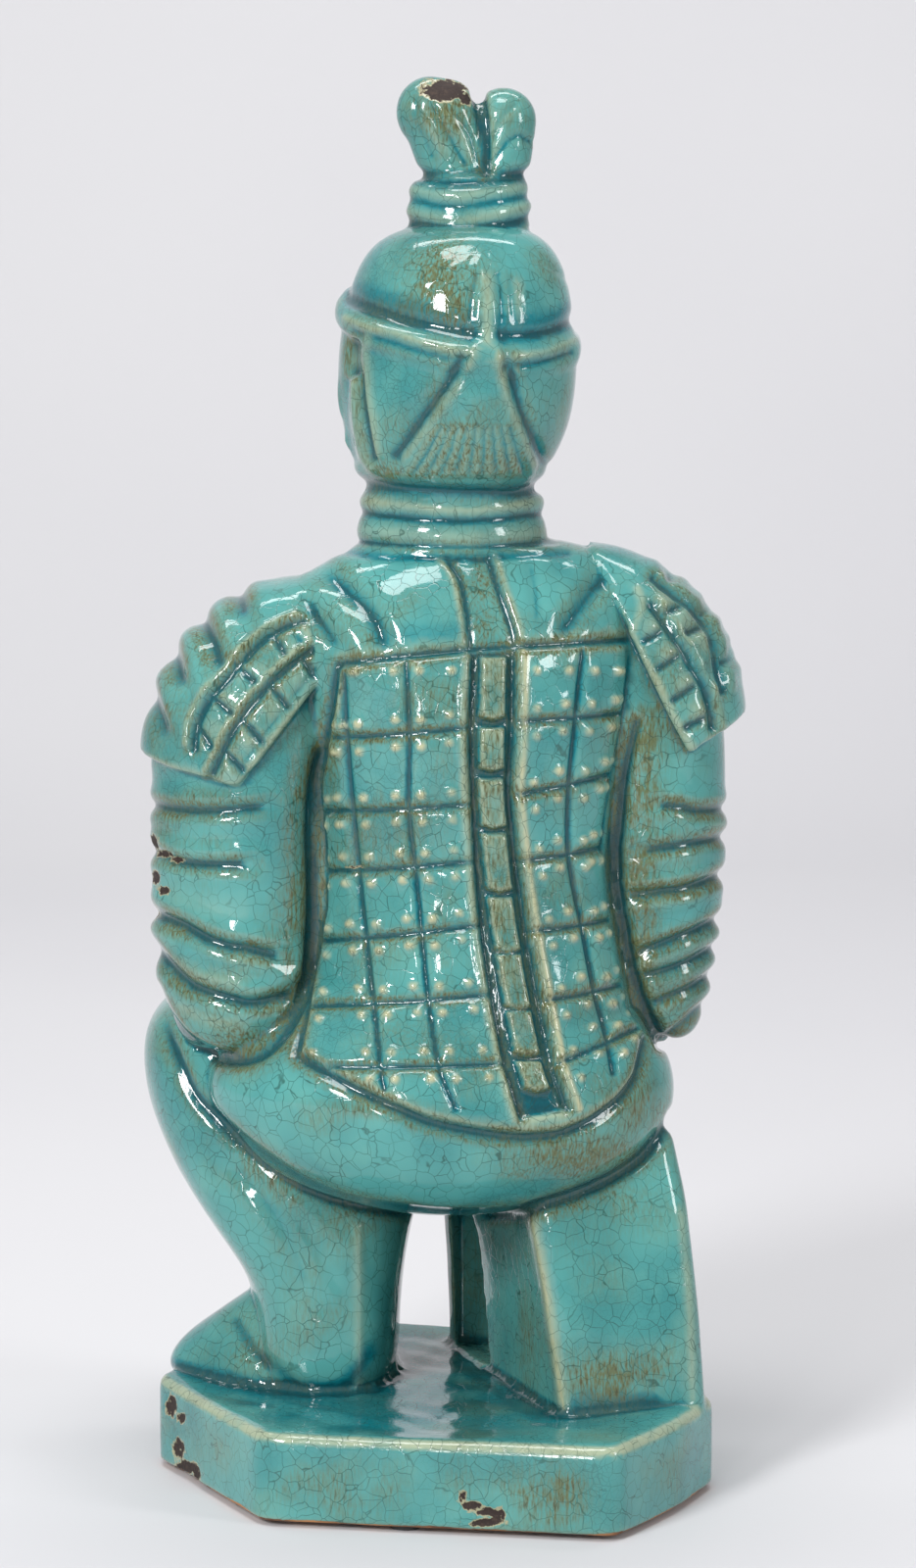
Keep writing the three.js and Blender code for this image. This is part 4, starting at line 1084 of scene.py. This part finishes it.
# The side that the photograph doesn't show, plainer
def carve_front():
    chest = in_front("torso", near=2, far=-10)
    plan = FRONT
    hem = [(44, 150), (24, 138), (0, 133), (-24, 138), (-44, 150)]
    outline = [(32, 272), (0, 266), (-32, 272), (-44, 240), (-42, 190),
               (-46, 150)] + hem[::-1][1:] + [(42, 190), (44, 240)]
    shell = plateau(outline, 1.4, 1.0, chest, plan)
    plates = chest * shell
    for z in (252, 232, 212, 192, 172, 152):
        groove([(46, z + 1), (0, z - 1), (-46, z + 1)], 1.05, 1.3, plates, 0.9, plan, stain=0.45)
    for x in (-30, -15, 0, 15, 30):
        groove([(x, 270), (x * 0.92, 200), (x, 134)], 1.05, 1.3, plates, 1.0, plan)
        for z in (252, 232, 212, 192, 172, 152):
            for dx in (-4, 4):
                for dz in (-4.4, 4):
                    bump(x + dx, z + dz, 1.3, 1.1, plates, plan, pale=0.9)
    collar = in_front("torso", "scarf", near=2, far=-10)
    fold([(32, 298), (14, 284), (-2, 268)], 2.0, 1.6, collar, 0.7, plan, stain=0.5)
    fold([(-30, 299), (-16, 288), (-4, 277)], 2.0, 1.5, collar, 0.7, plan, stain=0.5)
    skirt = in_front("robe", near=0, far=-16)
    for x in (-48, -26, -4, 20, 44):
        fold([(x * 0.8, 162), (x, 132), (x * 1.06, 100)], 2.4, 1.4, skirt, 0.6, plan, stain=0.5)
    legs = in_front("leg", near=-20, far=-40)
    for z, bow in ((124, 6), (108, 4), (84, -3), (68, -4)):
        fold([(76, z + bow), (46, z), (16, z + bow)], 2.2, 1.2, legs, 0.6, plan, stain=0.5)
    sleeves = in_front("hands", near=10, far=-10)
    for x, z in ((62, 160), (50, 162), (36, 166), (22, 170), (-74, 158), (-84, 158)):
        fold([(x - 5, z + 26), (x + 1, z), (x + 3, z - 26)], 1.8, 1.2, sleeves, 0.6, plan, stain=0.5)
    for side, name in ((1, "guard_left"), (-1, "guard_right")):
        guard_front = in_front(name, near=0, far=-14)
        for x, drop in ((52, 0), (64, -6), (74, -14)):
            groove([(side * (x - 8), 284 + drop), (side * x, 262 + drop),
                    (side * (x + 2), 238 + drop * 0.4)], 1.5, 1.5, guard_front, 0.8, plan, stain=0.5)
        for z in (268, 253, 239):
            groove([(side * 38, z + 4), (side * 60, z), (side * 84, z - 6)], 1.3, 1.3, guard_front, 0.8,
                   plan, stain=0.4)
    hair = in_front("head", near=4, far=-10)
    for k in range(9):
        x = -32 + 8 * k
        groove([(x, 375), (x * 0.8, 386), (x * 0.45, 396)], 1.0, 0.5, hair, 0.2, plan, stain=0.3)


for work in (carve_head, carve_collar, carve_knot, carve_yoke, carve_armour, carve_guards, carve_sleeves,
             carve_lower, carve_front):
    work()


# Chips, bare clay and brushed stain, placed on the chart: (x, z, half width, half height, strength)
CHIPS = [(-4, 444, 8.2, 4.0, 1.1), (-10.5, 441.5, 3.4, 2.8, 0.9), (87, 212, 3.0, 3.5, 0.9),
         (84, 208.5, 3.5, 1.6, 0.95), (80, 206.5, 2.6, 1.3, 0.95), (86, 201, 1.8, 2.8, 0.95),
         (83.5, 197, 2.4, 1.7, 0.95), (88, 190, 3, 5, 0.6), (82.5, 33, 2.2, 4.5, 1.0),
         (79.5, 29, 1.8, 2.4, 0.9), (80.5, 19, 2.4, 4.5, 1.0), (78, 13, 4.0, 3.0, 1.0),
         (75, 10.5, 2.0, 4.0, 0.9), (-9.5, 3.5, 2.0, 3.2, 1.0), (-12.5, 0.5, 4.0, 1.9, 1.0),
         (-17, -1.5, 4.5, 2.0, 1.0), (-21, -2.5, 2.4, 3.0, 1.0), (-17, -5.0, 7.0, 1.8, 0.95),
         (23.5, 204.5, 4.6, 0.8, 0.75)]
STAINS = [(-3, 386, 13, 15, 0.95), (22, 362, 3.5, 22, 0.5), (-1, 350, 5, 8, 0.6), (-6.5, 376, 9, 5, 0.7),
          (-40, 348, 8, 14, 0.35), (14, 327, 6, 4, 0.9), (-10, 328, 20, 4, 0.6), (5, 343, 5, 5, 0.5),
          (-30, 340, 4, 8, 0.5), (12, 340, 7, 7, 0.4), (-4, 437, 12, 10, 0.85), (-24, 436, 8, 8, 0.55),
          (-16, 288, 5, 17, 0.8), (52, 262, 22, 18, 0.4), (82, 254, 8, 16, 0.5), (-76, 268, 12, 18, 0.45),
          (70, 226, 14, 3, 0.6), (74, 212, 12, 3, 0.5), (76, 200, 10, 8, 0.3), (66, 172, 20, 5, 0.35),
          (60, 151, 14, 4, 0.7), (-76, 205, 14, 6, 0.3), (-76, 166, 12, 12, 0.6), (-80, 150, 10, 8, 0.7),
          (30, 238, 3, 30, 0.6), (-48, 113, 22, 7, 1.1), (-66, 128, 10, 12, 0.75), (-42, 117, 14, 3, 0.9),
          (-23, 117.5, 5, 2, 0.7), (20, 128, 18, 3, 0.6), (50, 105, 9, 6, 0.65), (28, 88, 10, 7, 0.4),
          (-60, 96, 16, 9, 0.5), (-30, 55, 5, 20, 0.55), (-58, 42, 16, 8, 1.1), (-39, 4, 11, 9, 1.3),
          (-30, 9, 12, 6, 0.6), (-10, 10, 8, 6, 0.5), (20, 9, 14, 8, 0.35), (69, 20, 7, 9, 0.45),
          (-50, 160, 8, 20, 0.3), (-36, 190, 10, 14, 0.25), (-4, 214, 5, 60, 0.35),
          (20, 178, 10, 20, 0.35), (10, 150, 16, 10, 0.35), (60, 60, 10, 12, 0.3), (40, 64, 6, 10, 0.3)]


def spots(table, where):
    total = np.zeros(COUNT)
    for x, z, wide_x, high_z, strength in table:
        gap = ((CHART[:, 0] - x) / wide_x) ** 2 + ((CHART[:, 1] - z) / high_z) ** 2
        total = np.maximum(total, strength * np.exp(-gap))
    return total * where


rear = ease(-20, 0, P[:, 1])
chip = np.clip(spots(CHIPS, rear) * (1 + 0.3 * wander(P, 4, 41)), 0, 1)
dent = ease(0.5, 0.66, chip)

raised += 0.28 * wander(P, 46, 3) + 0.1 * wander(P, 17, 5)
rise = raised - cut_depth - 0.45 * dent
P2 = P + N * rise[:, None]
P2 = blur(P2, 1)
set_points(body, P2)
N2 = normals_of(body)

# How thick the glaze lies: pooled in hollows, thin on edges; and painted shade in broad hollows
fine = ((blur(P2, 3) - P2) * N2).sum(axis=1)
mid = ((blur(P2, 14) - P2) * N2).sum(axis=1)
wide = ((blur(P2, 60) - P2) * N2).sum(axis=1)
pool = np.clip(0.45 * ease(0.04, 0.34, mid) + 0.5 * ease(0.12, 1.1, wide) + 0.85 * dye, 0, 1)
worn = ease(0.04, 0.2, -fine) * 0.16 + ease(0.12, 0.55, -mid) * 0.42 + ease(0.3, 1.3, -wide) * 0.2
# thin also carries the painted highlights on the tab tops and the yoke's lower edge, through cream.
thin = np.maximum(np.clip(worn, 0, 0.6), cream)
thin = np.clip(thin * (1 - 0.85 * pool) + 0.5 * cream * (cream > 0.8), 0, 1)
# Painted shade: broad hollows are made darker olive through the stain values below.
shade_of = ease(0.25, 1.6, wide)

ahead = (1 - rear) * ease(0.1, 0.7, wander(P, 60, 11) + 0.35)
mottle = 0.42 * ease(0.0, 0.55, wander(P, 30, 8)) * rear
# stain holds real stains, rust, mottle and patches on the front, plus the painted shade in broad hollows.
stain = np.clip(np.maximum(np.maximum(spots(STAINS, rear), rust), mottle) + 0.3 * shade_of + 0.35 * ahead,
                0, 1)
bare = ease(3.2, 1.8, P2[:, 2] + 0.8 * wander(P, 14, 21))
# The thin column carries painted highlights, and the stain column painted shade.
COLUMNS = {"pool": pool, "thin": thin, "stain": stain, "chip": chip, "bare": bare}
P2 = P2 + CENTRE
set_points(body, P2)


def thinned(obj, target):
    """Fewer faces where the clay is plain; the glaze values go back on from the full skin."""
    tree = KDTree(COUNT)
    for i, point in enumerate(P2):
        tree.insert(point, i)
    tree.balance()
    faces = sum(len(p.vertices) - 2 for p in obj.data.polygons)
    thin_out = obj.modifiers.new("thin", "DECIMATE")
    thin_out.ratio = target / faces
    bpy.ops.object.modifier_apply(modifier=thin_out.name)
    nearest = np.array([tree.find(point)[1] for point in points_of(obj)])
    for name, values in COLUMNS.items():
        layer = obj.data.attributes.new(name, "FLOAT", "POINT")
        layer.data.foreach_set("value", values[nearest].astype(np.float32))


thinned(body, 196000)
bpy.ops.object.select_all(action="DESELECT")
body.select_set(True)
bpy.context.view_layer.objects.active = body
bpy.ops.object.shade_smooth()
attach(body, "root")
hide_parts("figurine")


# Materials
class Nodes:
    """Short names for the few shader nodes used here."""

    def __init__(self, name):
        self.material = bpy.data.materials.new(name)
        self.material.use_nodes = True
        self.tree = self.material.node_tree
        self.shader = self.tree.nodes["Principled BSDF"]
        self.place = self.tree.nodes.new("ShaderNodeTexCoord").outputs["Object"]

    def plug(self, socket, value):
        if isinstance(value, bpy.types.NodeSocket):
            self.tree.links.new(value, socket)
        else:
            socket.default_value = value

    def math(self, operation, a, b=0.0, clamp=False):
        node = self.tree.nodes.new("ShaderNodeMath")
        node.operation = operation
        node.use_clamp = clamp
        self.plug(node.inputs[0], a)
        self.plug(node.inputs[1], b)
        return node.outputs[0]

    def ramp(self, value, low, high, start=0.0, stop=1.0):
        node = self.tree.nodes.new("ShaderNodeMapRange")
        node.interpolation_type = "SMOOTHSTEP"
        for socket, given in zip(node.inputs, (value, low, high, start, stop)):
            self.plug(socket, given)
        return node.outputs[0]

    def mix(self, amount, a, b):
        node = self.tree.nodes.new("ShaderNodeMix")
        node.data_type = "RGBA"
        self.plug(node.inputs[0], amount)
        self.plug(node.inputs[6], a)
        self.plug(node.inputs[7], b)
        return node.outputs[2]

    def noise(self, scale, detail=3.0, where=None, rough=0.5):
        node = self.tree.nodes.new("ShaderNodeTexNoise")
        self.plug(node.inputs["Vector"], where or self.place)
        node.inputs["Scale"].default_value = scale
        node.inputs["Detail"].default_value = detail
        node.inputs["Roughness"].default_value = rough
        return node.outputs["Fac"], node.outputs["Color"]

    def stretch(self, scale):
        node = self.tree.nodes.new("ShaderNodeMapping")
        self.plug(node.inputs["Vector"], self.place)
        node.inputs["Scale"].default_value = scale
        return node.outputs[0]

    def shaken(self, scale, amount):
        """Place pushed about by a soft noise, so that lines wander."""
        _, colour = self.noise(scale, 2.0)
        node = self.tree.nodes.new("ShaderNodeVectorMath")
        node.operation = "MULTIPLY_ADD"
        self.plug(node.inputs[0], colour)
        node.inputs[1].default_value = (amount,) * 3
        self.plug(node.inputs[2], self.place)
        return node.outputs[0]

    def cracks(self, scale, width, where):
        """Lines between cells: 1 on the line, 0 in the cell."""
        node = self.tree.nodes.new("ShaderNodeTexVoronoi")
        node.feature = "DISTANCE_TO_EDGE"
        self.plug(node.inputs["Vector"], where)
        node.inputs["Scale"].default_value = scale
        return self.ramp(node.outputs["Distance"], 0.0, width, 1.0, 0.0)

    def clear_from_behind(self):
        """Lets a camera behind the paper look through it at the figure."""
        facing = self.tree.nodes.new("ShaderNodeNewGeometry").outputs["Backfacing"]
        looking = self.tree.nodes.new("ShaderNodeLightPath").outputs["Is Camera Ray"]
        return self.math("SUBTRACT", 1.0, self.math("MULTIPLY", facing, looking))

    def value_of(self, name):
        node = self.tree.nodes.new("ShaderNodeAttribute")
        node.attribute_name = name
        return node.outputs["Fac"]

    def bump(self, height, distance, strength):
        node = self.tree.nodes.new("ShaderNodeBump")
        node.inputs["Distance"].default_value = distance
        node.inputs["Strength"].default_value = strength
        self.plug(node.inputs["Height"], height)
        return node.outputs["Normal"]


# Colours of the glaze, from thin to pooled, then of what lies on and under it
TURQUOISE = (0.085, 0.315, 0.295, 1)
PALE_GREEN = (0.13, 0.36, 0.31, 1)
SEA = (0.04, 0.215, 0.215, 1)
LAGOON = (0.004, 0.165, 0.195, 1)
TEAL = (0.001, 0.07, 0.09, 1)
CREAM = (0.43, 0.44, 0.28, 1)
OLIVE = (0.115, 0.12, 0.042, 1)
UMBER = (0.035, 0.022, 0.008, 1)
CRACK_INK = (0.012, 0.05, 0.036, 1)
CHIP_RIM = (0.36, 0.33, 0.2, 1)
CHIP_BROWN = (0.022, 0.011, 0.008, 1)
CHIP_GREY = (0.06, 0.036, 0.024, 1)
CLAY = (0.50, 0.24, 0.10, 1)
CLAY_DARK = (0.13, 0.06, 0.03, 1)
RUBBER = (0.02, 0.02, 0.021, 1)
RUBBER_DUST = (0.09, 0.085, 0.08, 1)
PAPER = (0.60, 0.595, 0.615, 1)
PAPER_LIGHT = (0.63, 0.625, 0.64, 1)


def crackle_glaze():
    n = Nodes("crackle_glaze")
    pool, thin, stain = n.value_of("pool"), n.value_of("thin"), n.value_of("stain")
    chip, bare = n.value_of("chip"), n.value_of("bare")
    broad, _ = n.noise(22, 3.0)
    cloud, _ = n.noise(75, 4.0)
    grain, _ = n.noise(420, 5.0, rough=0.65)
    brush, _ = n.noise(1.0, 5.0, n.stretch((1300, 1300, 260)), 0.6)
    colour = n.mix(n.ramp(broad, 0.34, 0.66), TURQUOISE, SEA)
    colour = n.mix(n.ramp(cloud, 0.45, 0.75, 0.0, 0.4), colour, PALE_GREEN)
    deep = n.math("ADD", pool, n.math("MULTIPLY", n.math("SUBTRACT", grain, 0.5),
                                      n.ramp(pool, 0.1, 0.5, 0.0, 0.5)), True)
    colour = n.mix(n.ramp(deep, 0.05, 0.6), colour, LAGOON)
    colour = n.mix(n.ramp(deep, 0.5, 1.0), colour, TEAL)
    # Cream where the glaze runs thin, and the painted highlights on the tab tops and the yoke's lower edge.
    edge = n.math("MULTIPLY", thin, n.ramp(cloud, 0.25, 0.6, 0.6, 1.0), True)
    colour = n.mix(edge, colour, CREAM)
    # Olive from the stain values: real stains, plus painted shade in broad hollows.
    olive_stain_and_shade = n.math("MULTIPLY", stain, n.ramp(brush, 0.3, 0.66, 0.25, 1.45))
    olive_stain_and_shade = n.math("MULTIPLY", olive_stain_and_shade, n.ramp(cloud, 0.3, 0.62, 0.5, 1.15), True)
    olive_stain_and_shade = n.math("MULTIPLY", olive_stain_and_shade, n.ramp(pool, 0.6, 1.0, 1.0, 0.5))
    colour = n.mix(n.math("MULTIPLY", olive_stain_and_shade, 0.9), colour, OLIVE)
    streak = n.math("MULTIPLY", n.ramp(brush, 0.52, 0.7), n.ramp(olive_stain_and_shade, 0.3, 0.9), True)
    colour = n.mix(n.math("MULTIPLY", streak, 0.6), colour, UMBER)
    wide_net = n.cracks(215, 0.036, n.shaken(150, 0.0030))
    fine_net = n.cracks(430, 0.042, n.shaken(300, 0.0018))
    fine_net = n.math("MULTIPLY", fine_net, n.ramp(broad, 0.44, 0.6), True)
    fade, _ = n.noise(48, 2.0)
    net = n.math("MULTIPLY", wide_net, n.ramp(fade, 0.3, 0.6, 0.45, 1.0))
    net = n.math("MAXIMUM", net, n.math("MULTIPLY", fine_net, n.ramp(fade, 0.35, 0.65, 0.75, 0.25)))
    colour = n.mix(n.math("MULTIPLY", net, 0.7), colour, CRACK_INK)
    ragged = n.math("ADD", chip, n.math("SUBTRACT", grain, 0.5))
    broken = n.ramp(ragged, 0.55, 0.63)
    colour = n.mix(n.ramp(ragged, 0.42, 0.56), colour, CHIP_RIM)
    colour = n.mix(broken, colour, n.mix(n.ramp(grain, 0.5, 0.75), CHIP_BROWN, CHIP_GREY))
    raw = n.ramp(n.math("ADD", bare, n.math("MULTIPLY", n.math("SUBTRACT", grain, 0.5), 0.7)), 0.42, 0.6)
    colour = n.mix(raw, colour, n.mix(n.ramp(cloud, 0.4, 0.65), CLAY, CLAY_DARK))
    rough_places = n.math("MAXIMUM", broken, raw)
    n.plug(n.shader.inputs["Base Color"], colour)
    wear = n.ramp(broad, 0.35, 0.7, 0.04, 0.08)
    n.plug(n.shader.inputs["Roughness"], n.math("MAXIMUM", wear, n.math("MULTIPLY", rough_places, 0.75)))
    n.shader.inputs["IOR"].default_value = 1.5
    height = n.math("SUBTRACT", n.math("MULTIPLY", cloud, 0.3), n.math("MULTIPLY", net, 0.05))
    height = n.math("SUBTRACT", height, n.math("MULTIPLY", rough_places, n.ramp(grain, 0.3, 0.7, 0.5, 1.0)))
    n.plug(n.shader.inputs["Normal"], n.bump(height, 0.0006, 0.5))
    return n.material


def pad_rubber():
    n = Nodes("pad_rubber")
    grain, _ = n.noise(900, 4.0)
    dust, _ = n.noise(150, 3.0)
    colour = n.mix(n.ramp(dust, 0.4, 0.75, 0.0, 0.5), RUBBER, RUBBER_DUST)
    n.plug(n.shader.inputs["Base Color"], colour)
    n.plug(n.shader.inputs["Roughness"], n.ramp(grain, 0.3, 0.7, 0.55, 0.8))
    n.plug(n.shader.inputs["Normal"], n.bump(grain, 0.0002, 0.4))
    return n.material


body.data.materials.clear()
body.data.materials.append(crackle_glaze())


# Pads under the plinth
def foot_pad(node):
    """Squat rubber button, a little wider at its foot than at its top."""
    low, high = (Vector(corner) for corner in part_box(node))
    centre, width, tall = (low + high) / 2, high.x - low.x, high.z - low.z
    bpy.ops.object.select_all(action="DESELECT")
    bpy.ops.mesh.primitive_cylinder_add(vertices=48, radius=width / 2 * 0.96, depth=tall, location=centre)
    obj = bpy.context.object
    obj.name = node + "_rubber"
    bake(obj)
    top = [v.index for v in obj.data.vertices if v.co.z > centre.z]
    edit(obj, False)
    pick(obj, top)
    bpy.ops.transform.resize(value=(0.97, 0.97, 1), center_override=centre)
    done()
    round_off = obj.modifiers.new("round", "BEVEL")
    round_off.width = tall * 0.22
    round_off.segments = 3
    round_off.limit_method = "ANGLE"
    bpy.context.view_layer.objects.active = obj
    bpy.ops.object.modifier_apply(modifier=round_off.name)
    bpy.ops.object.shade_smooth_by_angle(angle=math.radians(50))
    obj.data.materials.append(rubber)
    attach(obj, "root")
    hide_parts(node)


rubber = pad_rubber()
for node in sorted(frame["nodes"]):
    if node != "figurine":
        foot_pad(node)


# Floor, backdrop, lights and camera
def studio():
    """Paper sweep: a floor whose far edge curves up into a wall."""
    bend, wall, steps = 0.9, 2.2, 12
    bpy.ops.object.select_all(action="DESELECT")
    bpy.ops.mesh.primitive_plane_add(size=1)
    floor = bpy.context.object
    floor.name = "paper_sweep"
    floor.scale = (5, 3, 1)
    bake(floor)
    edge = [v.index for v in floor.data.vertices if v.co.y < -1]
    edit(floor, False)
    pick(floor, edge)
    for step in range(1, steps + 1):
        angle = math.radians(90) * step / steps
        last = math.radians(90) * (step - 1) / steps
        run = bend * (math.sin(angle) - math.sin(last))
        rise_by = bend * (math.cos(last) - math.cos(angle))
        bpy.ops.mesh.extrude_region_move(TRANSFORM_OT_translate={"value": (0, -run, rise_by)})
    bpy.ops.mesh.extrude_region_move(TRANSFORM_OT_translate={"value": (0, 0, wall)})
    done()
    bpy.ops.object.shade_smooth()
    n = Nodes("paper")
    tone, _ = n.noise(1.2, 2.0)
    n.plug(n.shader.inputs["Base Color"], n.mix(n.ramp(tone, 0.3, 0.7), PAPER, PAPER_LIGHT))
    n.shader.inputs["Roughness"].default_value = 0.75
    n.plug(n.shader.inputs["Alpha"], n.clear_from_behind())
    floor.data.materials.append(n.material)


def softbox(name, place, aim, size, power):
    data = bpy.data.lights.new(name, "AREA")
    data.shape = "RECTANGLE"
    data.size = size[0]
    data.size_y = size[1]
    data.energy = power
    lamp = bpy.data.objects.new(name, data)
    bpy.context.collection.objects.link(lamp)
    lamp.location = place
    lamp.rotation_euler = (Vector(aim) - Vector(place)).to_track_quat("-Z", "Y").to_euler()


def lights():
    softbox("key_box", (1.15, 1.75, 1.25), (0, 0, 0.24), (0.5, 0.62), 40)
    softbox("fill_box", (-1.9, 1.0, 0.9), (0, 0, 0.2), (0.4, 0.9), 14)
    softbox("low_box", (0.6, 2.2, 0.45), (0, 0, 0.24), (0.2, 0.42), 7)
    softbox("top_box", (0.1, 0.4, 1.9), (0, 0, 0.2), (0.8, 0.5), 12)
    softbox("backdrop_box", (0.0, -0.75, 2.3), (0, -1.9, 0.5), (2.4, 0.5), 31)
    world = bpy.data.worlds.new("studio")
    bpy.context.scene.world = world
    world.use_nodes = True
    world.node_tree.nodes["Background"].inputs["Color"].default_value = (0.82, 0.83, 0.85, 1)
    world.node_tree.nodes["Background"].inputs["Strength"].default_value = 0.42
    bpy.context.scene.view_settings.view_transform = "Standard"


def camera():
    data = bpy.data.cameras.new("camera")
    eye = bpy.data.objects.new("camera", data)
    bpy.context.collection.objects.link(eye)
    eye.location = [(c + d) * MM for c, d in zip(EYE, CENTRE)]
    eye.rotation_euler = (math.pi / 2 - TILT, 0, math.pi)
    data.lens = LENS
    bpy.context.scene.camera = eye


studio()
lights()
camera()
